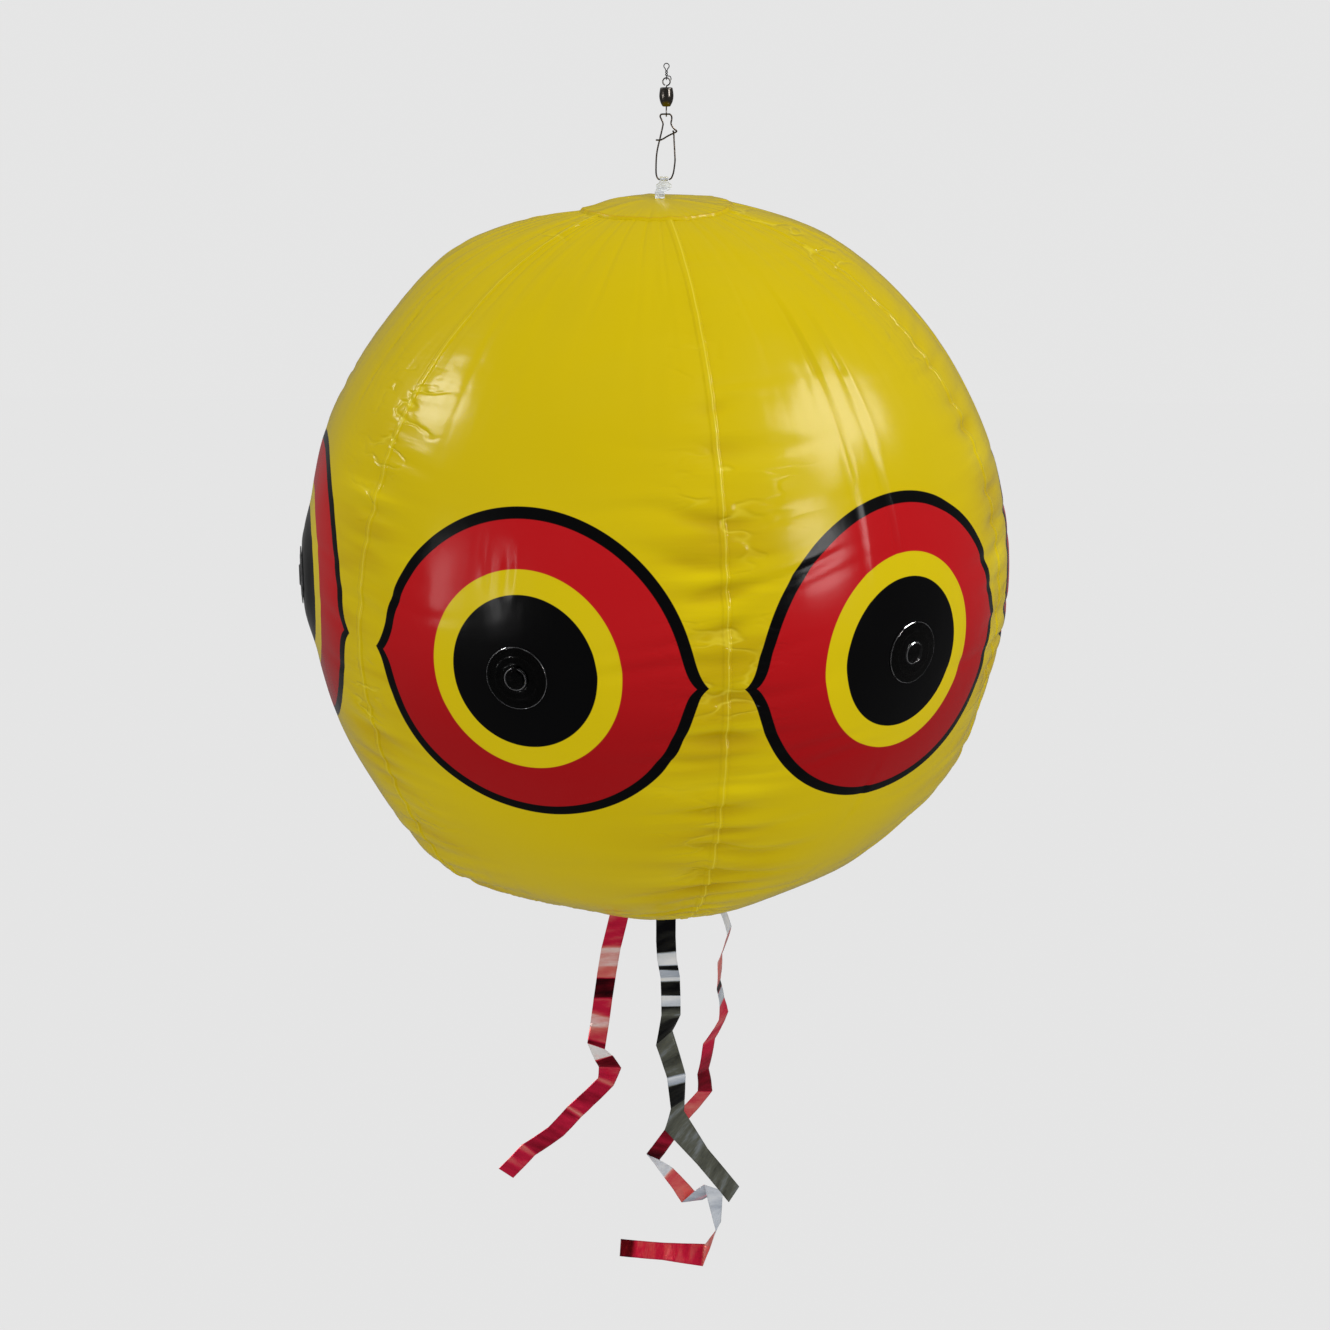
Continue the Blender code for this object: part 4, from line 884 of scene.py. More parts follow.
def valve_piece(name, mesh, finish=wetted):
    """Finishes a moving piece of the valve, whose body and node have its name."""
    finish_piece(piece_of(name, mesh, finish), f"valve_{name}", "clear vinyl", f"valve_{name}")


flange_outline = disc_outline(STEM_RADIUS + 0.0003, ((0.0072, 0.0004, 0.0002), OUTER_RIDGE))
flange = piece_of("valve_disc", turned("valve_disc", flange_outline, 96, valve_place), wetted)
finish_piece(flange, "ball", "clear vinyl", "valve_flange")
rim = 0.00015
stem_outline = [(STEM_BORE, RIM_FACE - rim), (STEM_BORE + rim, RIM_FACE), (RIM_RADIUS - rim, RIM_FACE),
                (RIM_RADIUS, RIM_FACE - rim), (RIM_RADIUS, RIM_SEAT + rim), (RIM_RADIUS - rim, RIM_SEAT),
                (STEM_RADIUS, RIM_SEAT), (STEM_RADIUS, STEM_END + 0.0016), (0.0062, STEM_END + 0.001),
                (0.0062, STEM_END + rim), (0.006, STEM_END), (STEM_BORE, STEM_END)]
ear = box_piece(STEM_RADIUS, RIM_RADIUS + 0.0009, RIM_SEAT + 0.0001, RIM_FACE - 0.0001)
stem = joined("stem", turned("stem tube", stem_outline, 64, valve_place), ear)
valve_piece("stem", stem)
spigot = STEM_BORE - 0.0003
plug_outline = [(0, PLUG_CAP_TOP - 0.0002), (0.002, PLUG_CAP_TOP - 0.0001), (PLUG_CAP_RADIUS - 0.0004, PLUG_CAP_TOP),
                (PLUG_CAP_RADIUS, PLUG_CAP_TOP - 0.0003), (PLUG_CAP_RADIUS, PLUG_SEAT), (spigot, PLUG_SEAT),
                (spigot - 0.0001, PLUG_SEAT - 0.0012), (spigot - 0.0006, PLUG_SEAT - 0.003), (0, PLUG_SEAT - 0.003)]
strap = box_piece(PLUG_CAP_RADIUS - 0.0024, STRAP_END, PLUG_SEAT + 0.0001, PLUG_SEAT + 0.0005)
plug = joined("plug", turned("plug cap", plug_outline, 64, valve_place), strap)
valve_piece("plug", plug)
flap_outline = [(0, STEM_END - 0.0003), (0.0046, STEM_END - 0.0003), (0.0047, STEM_END - 0.0005),
                (0.0046, STEM_END - 0.0008), (0, STEM_END - 0.0008)]
valve_piece("flap", turned("flap", flap_outline, 48, valve_place), clear)
print("valve at", [round(c, 4) for c in valve_place.translation])

# %% [markdown]
# ## Wires
# The hanger, the swivel's eyes and the snap are bent from round wire. A wire follows a path, so one tree of
# Geometry Nodes makes them all: it spaces points along the path, rounds the cut ends and sweeps a circle.


# %% The tree that makes a wire
def build_wire(bench, ask):
    path = bench.shape("MeshToCurve", {0: ask("Path")})
    even = bench.shape("ResampleCurve", {"Curve": path, "Length": ask("Point spacing")}, mode="LENGTH")
    here = bench.shape("SplineParameter", output=1)
    whole = bench.shape("SplineLength")
    from_end = here.math("MINIMUM", whole - here) / (ask("Thickness") * 0.5)
    short = 1 - from_end.math("MINIMUM", 1.0)
    round_end = (1 - short * short + 0.0004).root()
    swelled = bench.shape("SetCurveRadius", {"Curve": even, "Radius": round_end})
    ring = bench.shape("CurvePrimitiveCircle", {
        "Resolution": ask("Sides"), "Radius": ask("Thickness") * 0.5}, mode="RADIUS")
    tube = bench.shape("CurveToMesh", {"Curve": swelled, "Profile Curve": ring, "Fill Caps": True})
    bench.close(bench.smooth(tube))


wire_recipe = Recipe("Wire along a path", build_wire, ("Path", "Geometry", None), ("Thickness", "Float", 0.0008),
                     ("Point spacing", "Float", 0.00016), ("Sides", "Int", 20))


# %% Paths, and the wire that follows one
def smooth_path(points, steps=8):
    """A smooth line through all the points."""
    points = [Vector(point) for point in points]
    ends = [2 * points[0] - points[1]] + points + [2 * points[-1] - points[-2]]
    line = []
    for before, start, end, after in zip(ends, ends[1:], ends[2:], ends[3:]):
        for step in range(steps):
            t = step / steps
            line.append(0.5 * (2 * start + (end - before) * t + (2 * before - 5 * start + 4 * end - after) * t ** 2
                               + (3 * start - 3 * end + after - before) * t ** 3))
    return line + [points[-1]]


def wire_piece(name, points, thickness, finish, body, slot):
    line = smooth_path(points)
    path = new_mesh(name + " path", [tuple(point) for point in line], [], [(i, i + 1) for i in range(len(line) - 1)])
    wire = wire_recipe.grow(name, {"Thickness": thickness, "Material": finish}, path)
    face_out(wire.data)
    finish_piece(wire, body, slot, name)
    print(name, "wire", round(sum((b - a).length for a, b in zip(line, line[1:])) * 1000, 1), "mm,",
          len(wire.data.polygons), "faces")


def arc(centre, radius, start, end, steps):
    turns = [radians(start + (end - start) * step / steps) for step in range(steps + 1)]
    return [(centre[0] + radius * cos(turn), centre[1] + radius * sin(turn)) for turn in turns]


print("wire helpers ready")

# %% [markdown]
# Metal shows its making: drawn wire has faint lines along it, and the barrel has rings from the lathe. Both
# are noise that is squeezed one way. A little wear changes the plating's colour in random patches.

# %% Metal finishes
def metal(name, base, worn, roughness, squeeze, wear, lines, **gloss):
    """A plated metal with faint lines, whose gloss is given by more of the shader's sockets."""
    made, bench, shader = new_material(name)
    place = bench.place()
    lined = bench.noise(bench.scaled(place, *squeeze), 1.0, 2.0, 1.0)
    patches = bench.noise(place, 420.0, 3.0, 2.0)
    feed(bench, shader, Base_Color=bench.blend(patches.step(wear, wear + 0.2), base, worn),
         Roughness=patches * 0.1 + lined * 0.04 + roughness, Normal=bench.bump(lined * lines, 0.3), **gloss)
    return made


# Name, plating, worn plating, roughness, how the lines are squeezed, where wear starts and how deep the lines are.
black_wire = metal("black wire", (0.002, 0.002, 0.002, 1), (0.01, 0.009, 0.008, 1),
                   0.16, (300, 300, 900), 0.6, 0.000006, IOR=1.3)
black_nickel = metal("black nickel", (0.1, 0.09, 0.08, 1), (0.15, 0.1, 0.05, 1),
                     0.14, (30, 30, 1900), 0.62, 0.000004, Metallic=1.0)
steel_wire = metal("steel wire", (0.1, 0.08, 0.065, 1), (0.03, 0.022, 0.016, 1),
                   0.12, (1500, 1500, 60), 0.46, 0.000005, Metallic=1.0)
print("metal finishes ready")

# %% [markdown]
# ## The hardware chain
# The hanger is one wire: a tag end, up the twist, round the loop, down the twist again and through the eye
# below. The swivel's two eyes go into a hollow turned barrel, so that each can turn. The snap is one bent wire in
# the real object. It is two pieces here, because its front leg springs open.

# %% Hanger
HANGER_WIRE, HANG_LOOP = 0.0005, 0.00115
TWIST_TOP, TWIST_LENGTH, TWIST_TURNS = 0.00305, 0.0031, 1.25
WIRE_GAP = 0.0005
STRAND_RADIUS = (HANGER_WIRE + WIRE_GAP) / 2
TWIST_BOTTOM = TWIST_TOP + TWIST_LENGTH
TOP_EYE_TOP = 0.00685


def strand(start_angle):
    """One strand of the twist, from top to bottom."""
    steps = round(TWIST_TURNS * 12)
    turns = [start_angle - 2 * pi * TWIST_TURNS * step / steps for step in range(steps + 1)]
    return [(STRAND_RADIUS * cos(turn), STRAND_RADIUS * sin(turn), -TWIST_TOP - TWIST_LENGTH * step / steps)
            for step, turn in enumerate(turns)]


front = -(HANGER_WIRE + WIRE_GAP)
tag = [(0.0024, front, -TWIST_BOTTOM - 0.0021), (0.0024, front, -TWIST_BOTTOM - 0.00105),
       (0.0019, front, -TWIST_BOTTOM - 0.000125), (0.0008, front, -TWIST_BOTTOM)]
loop = [(x, 0, z) for x, z in arc((0, -HANG_LOOP), HANG_LOOP + HANGER_WIRE / 2, -62, 242, 20)]
through_eye = [(0, y, z) for y, z in arc((0, -TOP_EYE_TOP - 0.00035), 0.0009, 30, -188, 12)]
wire_piece("hanger_wire", tag + strand(0)[::-1] + loop + strand(pi) + through_eye, HANGER_WIRE, black_wire,
           "hanger", "black wire")

# %% Swivel
EYE_WIRE = 0.0007
BARREL_TOP, BARREL_LENGTH = 0.01225, 0.0096


def eye_bend(radius, shank):
    """An eye with its shank below it, as (across, height) from the eye's centre."""
    middle = radius - EYE_WIRE / 2
    foot = -middle - 0.0005
    bend = arc((0.0005, foot), 0.0005, 180, 100, 4)
    return [(0, -middle - shank), (0, foot - 0.0004)] + bend + arc((0, 0), middle, -68, 248, 24)


top = [(x, 0, z - 0.00915) for x, z in eye_bend(0.0023, 0.003)]
wire_piece("swivel_top_eye", top, EYE_WIRE, black_nickel, "top_eye", "dark metal")
bottom = [(0, y, -0.02517 - z) for y, z in eye_bend(0.00217, 0.0037)]
wire_piece("swivel_bottom_eye", bottom, EYE_WIRE, black_nickel, "bottom_eye", "dark metal")
outside = [(0.00305, 0), (0.0032, -0.00005), (0.0033, -0.0003), (0.00348, -0.0012), (0.00367, -0.0024),
           (0.0038, -0.0038), (0.00376, -0.005), (0.00352, -0.0064), (0.0031, -0.0077), (0.0025, -0.0089),
           (0.0021, -0.0095), (0.00194, -BARREL_LENGTH)]
outside = [(p.x, p.z) for p in smooth_path([(r, 0, z) for r, z in outside], 6)]
inside = [(0.00065, -BARREL_LENGTH), (0.00065, -0.0083), (0.0014, -0.0083), (0.002, -0.0058), (0.002, -0.00095),
          (0.00065, -0.00095), (0.00065, 0)]
shell = turned("swivel_barrel", outside + inside, 72, Matrix.Translation((0, 0, -BARREL_TOP)))
barrel = piece_of("swivel_barrel", shell, black_nickel)
finish_piece(barrel, "barrel", "dark metal", "swivel_barrel")
print("barrel:", round(BARREL_LENGTH * 1000, 1), "mm long")

# %% Snap
SNAP_WIRE, SNAP_PITCH = 0.00086, 0.0343
SNAP_TOP = 0.02591
SNAP_GAP = 0.0003
# The wire's middle at each bend: shares of the pitch to the right, crossings to the back, shares of the pitch down.
BODY_SHARES = (
    (-0.16, -0.6, 0.392), (-0.115, -1, 0.391), (-0.066, -1.05, 0.381), (0.028, -0.6, 0.329),
    (0.1135, -0.1, 0.289), (0.152, 0, 0.272), (0.163, 0, 0.254), (0.137, 0, 0.235),
    (0.0975, 0, 0.192), (0.0737, 0, 0.139), (0.084, 0, 0.078), (0.082, 0, 0.032),
    (0.058, 0, 0.003), (0.036, 0, 0), (0, 0, 0), (-0.05, 0, 0), (-0.083, 0, 0.006),
    (-0.096, 0, 0.033), (-0.0748, 0, 0.083), (-0.0512, 0, 0.139), (-0.0588, 0, 0.2),
    (-0.0972, 0, 0.367), (-0.136, 0, 0.53), (-0.1546, 0, 0.674), (-0.159, 0, 0.874),
    (-0.148, 0, 0.95), (-0.128, 0, 0.988), (-0.106, 0, 1), (-0.06, 0, 1), (-0.01, 0, 1), (0.035, 0, 1),
)
GATE_SHARES = (
    (0.0437, 0, 1), (0.0525, 0, 1), (0.062, 0, 0.996), (0.086, 0, 0.975), (0.104, 0, 0.932), (0.12, 0.05, 0.873),
    (0.1394, 0.3, 0.719), (0.135, 0.6, 0.596), (0.125, 0.95, 0.43), (0.1208, 1.05, 0.351),
    (0.117, 1.05, 0.303), (0.112, 0.8, 0.268), (0.108, 0.2, 0.2575), (0.1065, -0.35, 0.2585),
)


def snap_places(shares):
    crossing = SNAP_WIRE + SNAP_GAP
    return [(x * SNAP_PITCH, back * crossing, -SNAP_TOP - down * SNAP_PITCH) for x, back, down in shares]


wire_piece("snap_wire", snap_places(BODY_SHARES), SNAP_WIRE, steel_wire, "snap", "bright wire")
wire_piece("snap_gate", snap_places(GATE_SHARES), SNAP_WIRE, steel_wire, "gate", "bright wire")

# %% [markdown]
# ## The hanging tab
# A strip of clear vinyl is folded over the snap's lower bend, welded to itself and to the top disc. The strip
# is a grid that follows the fold, wide in the middle and narrow at the neck, and gets its thickness last.

# %% Hanging tab
TAB_SHEET, TAB_DROP = 0.0007, 0.00949
TAB_TUNNEL = SNAP_WIRE / 2 + SNAP_GAP
TAB_HEIGHT, TAB_COLUMNS, TAB_BEVEL = 0.06021, 12, 0.00018
# Heights under the snap's lower bend, each with the strip's middle and its width there.
TAB_LEVELS = ((0.01, -0.0012, 0.0044), (-0.0014, -0.0012, 0.0046), (-0.0028, -0.0012, 0.0081),
              (-0.0049, -0.0012, 0.0081), (-0.0068, -0.0034, 0.0052), (-0.02, -0.0034, 0.0052))


def tab_width(height):
    """The strip's middle and width at a height, eased from level to level."""
    for (z1, m1, w1), (z0, m0, w0) in zip(TAB_LEVELS, TAB_LEVELS[1:]):
        if height >= z0:
            share = (height - z0) / (z1 - z0)
            share = share * share * (3 - 2 * share)
            return m0 + (m1 - m0) * share, w0 + (w1 - w0) * share


def grid_faces(rows, columns):
    """The faces of a grid whose vertices run along its rows, one more in each than it has columns."""
    corners = [row * (columns + 1) + column for row in range(rows) for column in range(columns)]
    return [(corner, corner + 1, corner + columns + 2, corner + columns + 1) for corner in corners]


def tab_mesh():
    half, foot = TAB_SHEET / 2, -TAB_DROP + TAB_SHEET / 2
    side = [(-0.0054, foot), (-0.004, foot), (-0.0022, foot), (-0.0012, foot + 0.0001), (-half - 0.0002, foot + 0.0007),
            (-half, foot + 0.0018), (-half, -0.005), (-half, -0.0035)]
    bend = [(y, z) for y, z in arc((0, 0), TAB_TUNNEL + half, 205, -25, 18)]
    path = smooth_path([(0, y, z) for y, z in side + bend + [(-y, z) for y, z in side[::-1]]], 4)
    places = []
    for point in path:
        middle, width = tab_width(point.z)
        for column in range(TAB_COLUMNS + 1):
            across = column / TAB_COLUMNS - 0.5
            places.append((middle + width * across, point.y, point.z - TAB_HEIGHT))
    mesh = new_mesh("hanging_tab", places, grid_faces(len(path) - 1, TAB_COLUMNS))
    mesh.shade_smooth()
    return mesh


tab = piece_of("hanging_tab", tab_mesh(), clear)
thicken(tab, TAB_SHEET * 0.96, 0)
bevel = tab.modifiers.new("soft edge", "BEVEL")
bevel.width, bevel.segments, bevel.limit_method, bevel.angle_limit = TAB_BEVEL, 2, "ANGLE", radians(50)
plain_copy(tab)
face_out(tab.data)
finish_piece(tab, "ball", "clear vinyl", "hanging_tab")
print("tab faces:", len(tab.data.polygons))

# %% [markdown]
# ## Foil tapes
# Each tape is thin film, red on one side and silver on the other, creased from being packed. Its path is the
# middle of each crease, and each crease has its own tilt, so the tape is a strip folded over its creases with
# small ripples between them. One end is anchored under a clear sticker on the bottom disc.

# %% Foil finish
def foil(name, painted_reflections, seed):
    """Metallised film with painted reflections: its second map holds how bright a part of the room each fold reflects,
    and the base colour runs from dark to white with it.
    """
    made, bench, shader = new_material(name)
    across, along = bench.marks("tape")
    streak = bench.noise(bench.vector(across * 0.3, along * 1.1 + across * 0.2), 1.6, 1.0, seed)
    fine = bench.noise(bench.vector(across * 0.5, along * 2.2), 6.0, 2.0, seed + 4)
    share = bench.marks("fold")[0] + (streak - 0.5) * 0.5 + (fine - 0.5) * 0.16
    feed(bench, shader, Base_Color=bench.ramp(share, painted_reflections), Metallic=0.4, IOR=1.2, Roughness=fine * 0.1 + 0.12,
         Normal=bench.bump(streak * 0.00035 + fine * 0.00006, 0.6))
    return made


# Painted reflections: from dark to white, as the folds mirror darker and brighter parts of the room.
red_foil = foil("red foil", (
    (0, (0.02, 0.0, 0.002)), (0.2, (0.16, 0.003, 0.01)), (0.5, (0.66, 0.016, 0.06)),
    (0.74, (0.8, 0.2, 0.17)), (0.9, (0.95, 0.6, 0.58)), (1, (1, 0.96, 0.94))), 1.0)
silver_foil = foil("silver foil", (
    (0, (0.004, 0.004, 0.005)), (0.15, (0.02, 0.02, 0.018)), (0.35, (0.13, 0.135, 0.11)),
    (0.6, (0.42, 0.47, 0.55)), (0.85, (0.8, 0.84, 0.9)), (1, (1, 1, 1))), 5.0)
print("foil finishes ready")

# %% [markdown]
# Each crease is given by its middle, as shares of the tape's drop to the right, to the back and down, and by its
# turn about the upright and its tilt, both in degrees. The painted reflections say how bright a part of the room
# the film mirrors at places that are counted in creases.

# %% Creases and painted reflections of the tapes
TAPE_WIDTH, TAPE_WALL = 0.012, 0.00012
LEFT_CREASE_SHARES = (
    (0, 0, 0, 0, 0), (-0.009, 0, 0.047, 0, 0), (-0.023, 0, 0.12, 0, 0), (-0.049, 0, 0.236, 0, 0),
    (-0.061, -0.012, 0.309, 0, 0), (-0.073, 0, 0.402, 0, 0), (-0.083, 0.004, 0.485, 0, -5),
    (-0.093, -0.02, 0.545, 0, -22), (-0.07, -0.005, 0.598, 38, -4), (-0.054, 0.01, 0.637, 35, -22),
    (-0.067, 0, 0.68, 10, -34), (-0.158, -0.01, 0.775, 0, -38), (-0.215, 0, 0.852, 0, -36),
    (-0.298, 0.008, 0.923, 0, -44), (-0.366, 0, 1, 0, -38),
)
LEFT_PAINTED_REFLECTIONS = (
    (0, 0.5), (2.9, 0.55), (3, 0.92), (3.65, 0.9), (3.75, 0.74), (4.15, 0.72), (4.22, 0.06), (4.9, 0.12), (5, 0.6),
    (5.4, 0.48), (5.6, 0.6), (5.7, 0.88), (6.1, 0.84), (6.2, 0.64), (6.75, 0.6), (6.85, 0.14), (7, 0.2), (7.05, 1),
    (7.9, 0.98), (7.98, 0.16), (8.95, 0.2), (9, 0.5), (9.8, 0.45), (10, 0.66), (10.1, 0.36), (10.9, 0.4), (11, 0.78),
    (11.15, 0.34), (11.9, 0.44), (12, 0.34), (12.9, 0.38), (13, 0.66), (13.15, 0.48), (14, 0.5),
)
MIDDLE_CREASE_SHARES = (
    (0, 0, 0, 0, 0), (0, 0, 0.057, 0, 0), (0, 0, 0.116, 0, 16), (0.003, -0.008, 0.175, 0, 0),
    (0.013, 0.008, 0.245, 0, 4), (0.015, -0.006, 0.295, 0, 0), (0.016, 0, 0.369, 0, 2),
    (-0.003, 0.01, 0.454, 35, 26), (0.033, -0.01, 0.575, 0, 14), (0.038, 0.004, 0.68, 42, 6),
    (0.028, -0.004, 0.732, 32, 32), (0.113, 0, 0.862, 46, 36), (0.211, 0, 1, 46, 36),
)
MIDDLE_PAINTED_REFLECTIONS = (
    (0, 0.05), (2.65, 0.03), (2.72, 0.85), (3.35, 0.95), (3.4, 0.06), (3.6, 0.1), (3.65, 0.74), (4, 0.66), (4.1, 1),
    (4.25, 0.95), (4.3, 0.06), (5.05, 0.1), (5.1, 0.98), (5.55, 0.8), (5.6, 0.05), (6, 0.4), (6.3, 0.05), (6.95, 0.1),
    (7, 0.36), (7.95, 0.28), (8, 0.95), (8.25, 0.6), (8.3, 0.06), (8.95, 0.1), (9, 0.34), (12, 0.33),
)
RIGHT_CREASE_SHARES = (
    (0, 0, 0, 90, 0), (0.02, 0, 0.042, 88, 0), (0.044, 0, 0.094, 80, 0), (0.058, 0, 0.14, 76, 0),
    (0.039, 0, 0.206, 74, 0), (0.037, 0, 0.272, 78, 0), (0.045, 0.003, 0.317, 74, 0),
    (0.049, 0, 0.35, 58, 0), (0.018, -0.006, 0.41, 48, -8), (0.006, 0, 0.492, 50, -6),
    (0.011, 0.004, 0.545, 40, -22), (-0.038, -0.004, 0.604, 26, -40), (-0.104, 0.004, 0.72, 24, -38),
    (-0.07, 0.01, 0.765, 64, -6), (-0.016, 0, 0.836, 20, -6), (0.032, -0.008, 0.793, 0, -20),
    (0.045, 0, 0.905, 72, -8), (0.013, 0, 0.985, 82, 38), (-0.081, 0, 0.975, 84, 34),
    (-0.179, 0, 0.965, 87, 32),
)
RIGHT_PAINTED_REFLECTIONS = (
    (0, 0.85), (2.95, 0.9), (3, 0.78), (4.9, 0.74), (4.95, 0.04), (5.25, 0.04), (5.3, 0.7), (6, 0.7), (6.05, 0.55),
    (7, 0.58), (8, 0.44), (8.6, 0.34), (9.3, 0.14), (10, 0.2), (10.05, 0.66), (11, 0.62), (11.05, 0.3), (11.3, 0.1),
    (11.6, 0.34), (12, 0.1), (12.05, 0.85), (13, 0.85), (13.05, 0.68), (14, 0.66), (14.05, 0.62), (15, 0.75),
    (15.05, 0.8), (17, 0.75), (17.05, 0.5), (18.5, 0.55), (18.6, 0.6), (18.75, 0.12), (19, 0.16),
)
RIGHT_OTHER_SIDE = ((0, 3), (5.3, 6), (12, 13), (15, 19))
print("creases:", len(LEFT_CREASE_SHARES), len(MIDDLE_CREASE_SHARES), len(RIGHT_CREASE_SHARES))

# %% Rows along a tape
ANCHOR_LENGTH = 0.012
ANCHOR_SHARES = (1, 0.66, 0.33, 0.1)
ANCHORED = len(ANCHOR_SHARES)
TAPE_COLUMNS, TAPE_STEP = 8, 0.0008
ROOT_LIFT, TAPE_LIFT, TAPE_RISE = 0.0023, 0.0003, 0.0007


def painted_reflection_at(painted_reflections, place):
    """The painted reflection between the two stops around a place."""
    for (start, first), (end, last) in zip(painted_reflections, painted_reflections[1:]):
        if place <= end:
            return first + (last - first) * (place - start) / (end - start)
    return painted_reflections[-1][1]


def underside(across, back, lift):
    """Height, from the ball's centre, of a layer at a lift on the ball's underside."""
    share = (across ** 2 + back ** 2) / (BALL_RADIUS + lift) ** 2
    return -(BALL_HALF_HEIGHT + lift) * sqrt(1 - share)


def crease_rows(root, drop, creases, anchor):
    """(middle, half width vector) of every fold, with the anchored end first."""
    slope_place = root[0] if abs(creases[0][3]) < 45 else root[1]
    slope = degrees(atan(slope_place * BALL_HALF_HEIGHT / BALL_RADIUS ** 2))
    start = Vector((*root, underside(*root, ROOT_LIFT)))
    turn = radians(creases[0][3])
    flat = Vector((cos(turn), sin(turn), tan(radians(slope)))).normalized()
    rows = []
    for share in ANCHOR_SHARES:
        place = (root[0] + anchor[0] * ANCHOR_LENGTH * share, root[1] + anchor[1] * ANCHOR_LENGTH * share)
        height = underside(*place, CAP_LIFT + TAPE_LIFT + TAPE_RISE * (1 - share))
        rows.append((Vector((*place, height)), flat * TAPE_WIDTH / 2))
    middles = [start + Vector((x, y, -down)) * drop for x, y, down, _, _ in creases]
    for index, (_, _, _, turn, tilt) in enumerate(creases):
        turn, tilt = radians(turn), radians(tilt if index else slope)
        crease = Vector((cos(turn) * cos(tilt), sin(turn) * cos(tilt), sin(tilt)))
        before = (middles[index] - middles[index - 1] if index else middles[1] - middles[0]).normalized()
        square = max(before.cross(crease).length, 0.6)
        rows.append((middles[index], crease * TAPE_WIDTH / 2 / square))
    return rows


def fine_rows(rows):
    """Middle, half width, facing, belly, hang, length so far and place among the creases, at short steps."""
    fine, along = [], 0.0
    for index, ((here, half), (there, next_half)) in enumerate(zip(rows, rows[1:])):
        length = (there - here).length
        count = max(3, round(length / TAPE_STEP))
        facing = (there - here).cross(half).normalized()
        for step in range(count):
            share = step / count
            middle = here.lerp(there, share)
            hang = min(1, max(0, (rows[ANCHORED][0].z - middle.z) / 0.004))
            belly = sin(pi * share) * min(length, 0.02) * 0.02 * hang
            fine.append((middle, half.lerp(next_half, share), facing, belly, hang, along + length * share,
                         max(0, index - ANCHORED + share)))
        along += length
    return fine + [(*rows[-1], facing, 0, 1, along, len(rows) - 1 - ANCHORED)]


print("anchored rows:", ANCHORED)

# %% [markdown]
# A tape's mesh is a strip along its rows, with small ripples that fade toward the anchored end. Its two maps
# feed the foil.


# %% Tapes
def ripple(across, along, seed):
    """Soft noise from -1 to 1 on the film."""
    return ripple_noise.noise(Vector((across, along, seed)))


def tape_mesh(name, fine, painted_reflections, other_side, finishes, seed):
    places, marks, folds = [], [], []
    for middle, half, facing, belly, hang, here, fold in fine:
        for column in range(TAPE_COLUMNS + 1):
            across = 2 * column / TAPE_COLUMNS - 1
            wave = ripple(across * 0.5, here * 130, seed) * 0.00025
            wave += ripple(across * 1.5, here * 420, seed + 9) * 0.00005
            places.append(tuple(BALL_CENTRE + middle + half * across + facing * (belly + wave) * hang))
            marks.append((column / TAPE_COLUMNS, here / TAPE_WIDTH))
            slant = ripple(0, here * 90, seed + 5) * 0.16 * across
            # Each fold's painted reflection, slanted across the tape.
            folds.append((painted_reflection_at(painted_reflections, fold + slant if 0.16 < fold % 1 < 0.84 else fold), 0))
    mesh = new_mesh(name, places, [(a, d, c, b) for a, b, c, d in grid_faces(len(fine) - 1, TAPE_COLUMNS)])
    add_map(mesh, "tape", marks)
    add_map(mesh, "fold", folds)
    for finish in (*finishes, finishes[0]):
        mesh.materials.append(finish)
    for face in mesh.polygons:
        row = face.index // TAPE_COLUMNS
        fold = (fine[row][-1] + fine[row + 1][-1]) / 2
        face.material_index = int(any(start < fold < end for start, end in other_side))
    return soften(mesh, 16)


def tape_piece(side, root_shares, drop, creases, painted_reflections, other_side, anchor, finishes, seed):
    root = [share * CAP_RADIUS for share in root_shares]
    fine = fine_rows(crease_rows(root, drop, creases, anchor))
    along = fine[-1][-2]
    tape = add_object(f"tape_{side}", tape_mesh(f"tape_{side}", fine, painted_reflections, other_side, finishes, seed))
    thicken(tape, TAPE_WALL, -1, "film", material_offset=1)
    plain_copy(tape)
    pivot = BALL_CENTRE + Vector((*root, underside(*root, ROOT_LIFT)))
    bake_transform(tape)
    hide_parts(f"tail_{side}")
    print(tape.name, "flat length", round(along * 1000), "mm,", len(tape.data.polygons), "faces")
    return root


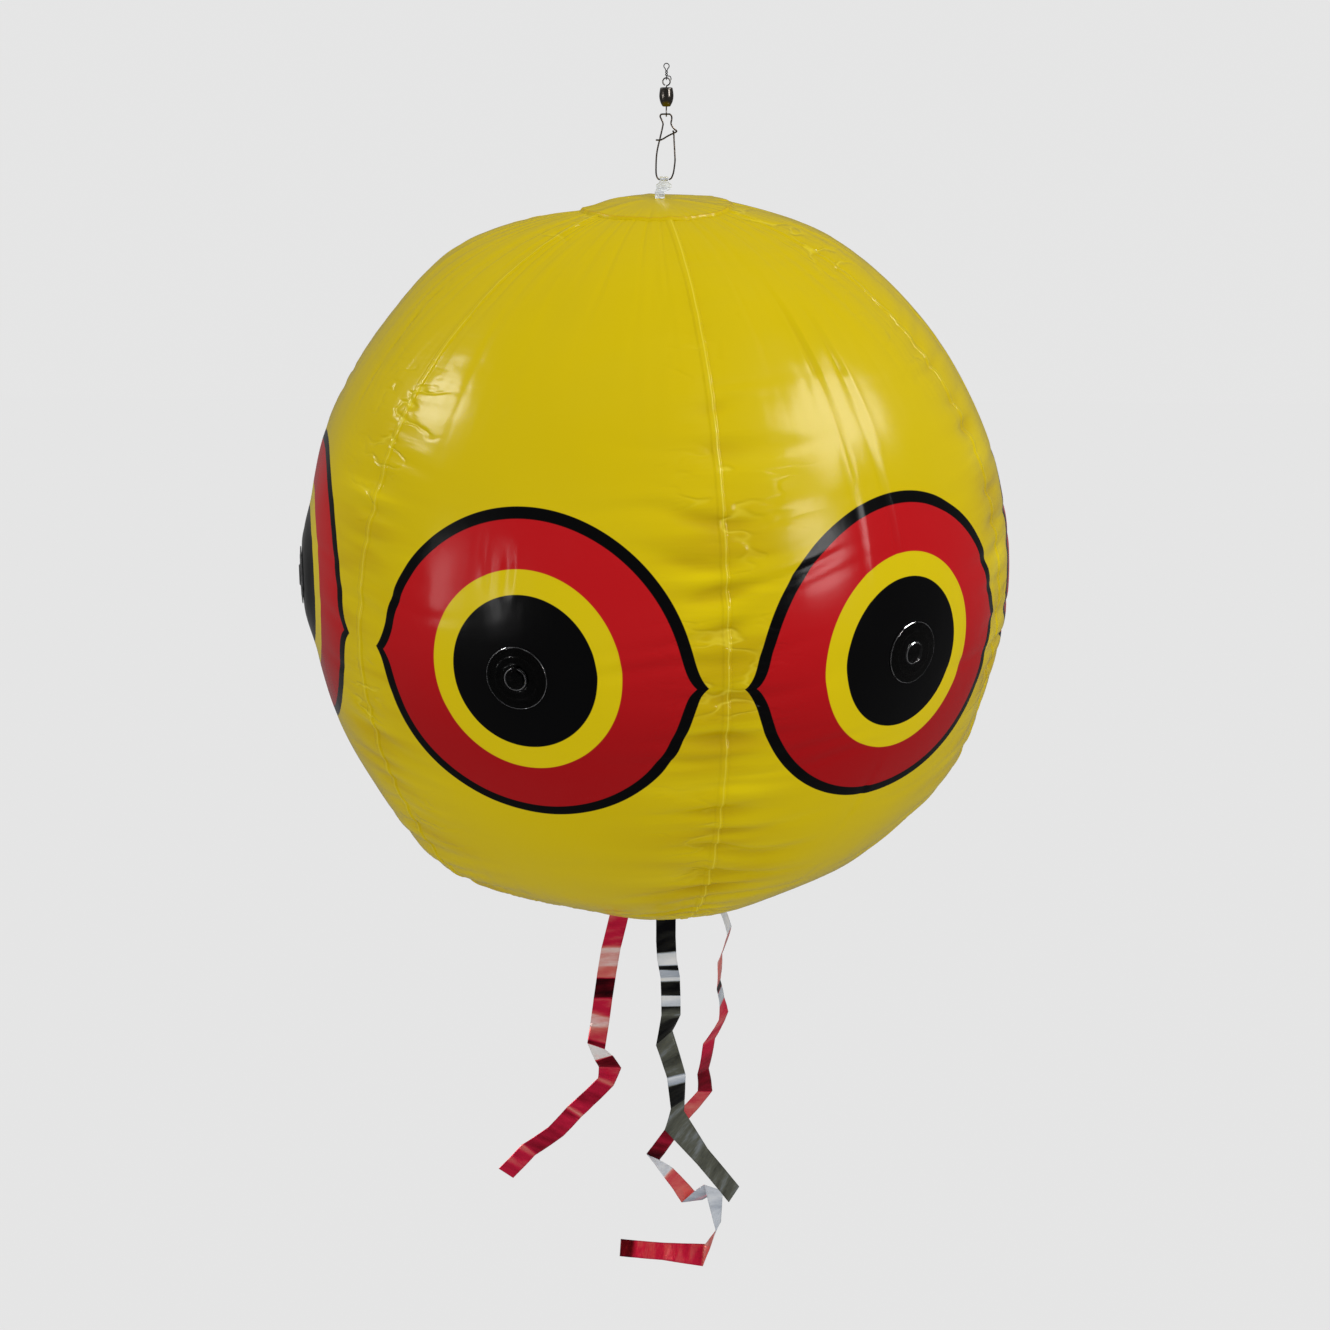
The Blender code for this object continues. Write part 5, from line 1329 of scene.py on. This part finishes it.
# Side, root as shares of the disc, drop, creases, painted reflections, parts that show their other side, way to the
# anchored end, finishes and seed.
TAPES = (
    ("left", (-0.405, 0.31), 0.225, LEFT_CREASE_SHARES, LEFT_PAINTED_REFLECTIONS, (), (0, 1), (red_foil, silver_foil), 3.0),
    ("middle", (0.164, -0.619), 0.213, MIDDLE_CREASE_SHARES, MIDDLE_PAINTED_REFLECTIONS, (), (0, 1), (silver_foil, red_foil), 7.0),
    ("right", (0.714, 0.31), 0.297, RIGHT_CREASE_SHARES, RIGHT_PAINTED_REFLECTIONS, RIGHT_OTHER_SIDE, (-1, 0),
     (red_foil, silver_foil), 11.0),
)
roots = {side: tape_piece(side, *rest) for side, *rest in TAPES}

# %% [markdown]
# A clear sticker holds each tape's end on the bottom disc. It is a grid of rings that lies on the ball and rises
# where the tape runs under it.

# %% Clear stickers over the anchored ends
STICKER_REACH, STICKER_RADIUS, STICKER_WALL = 0.0065, 0.008, 0.00015
STICKER_LIFT, STICKER_RISE, RISE_START, RISE_RUN = 0.0004, 0.0005, 0.0058, 0.0012
RINGS, SPOKES = 12, 48


def sticker(side, root, anchor):
    centre = (root[0] + anchor[0] * STICKER_REACH, root[1] + anchor[1] * STICKER_REACH)
    along, across = Vector((*anchor, 0)), Vector((-anchor[1], anchor[0], 0))
    places = []
    for ring in range(RINGS + 1):
        for spoke in range(SPOKES + 1):
            turn, radius = 2 * pi * spoke / SPOKES, STICKER_RADIUS * ring / RINGS
            offset = across * (radius * cos(turn)) + along * (radius * sin(turn))
            x, y = centre[0] + offset.x, centre[1] + offset.y
            over = 1 - min(1, max(0, (abs(radius * cos(turn)) - RISE_START) / RISE_RUN))
            height = underside(x, y, CAP_LIFT + STICKER_LIFT + STICKER_RISE * over)
            places.append(tuple(BALL_CENTRE + Vector((x, y, height))))
    mesh = face_out(new_mesh(f"sticker_{side}", places, grid_faces(RINGS, SPOKES)))
    mesh.shade_smooth()
    disc = piece_of(f"sticker_{side}", mesh, clear)
    thicken(disc, STICKER_WALL, 1)
    plain_copy(disc)
    face_out(disc.data)
    finish_piece(disc, "ball", "clear vinyl", f"tail_patch_{side}")


for side, *_, anchor, _, _ in TAPES:
    sticker(side, roots[side], anchor)
print("three stickers on the bottom disc")
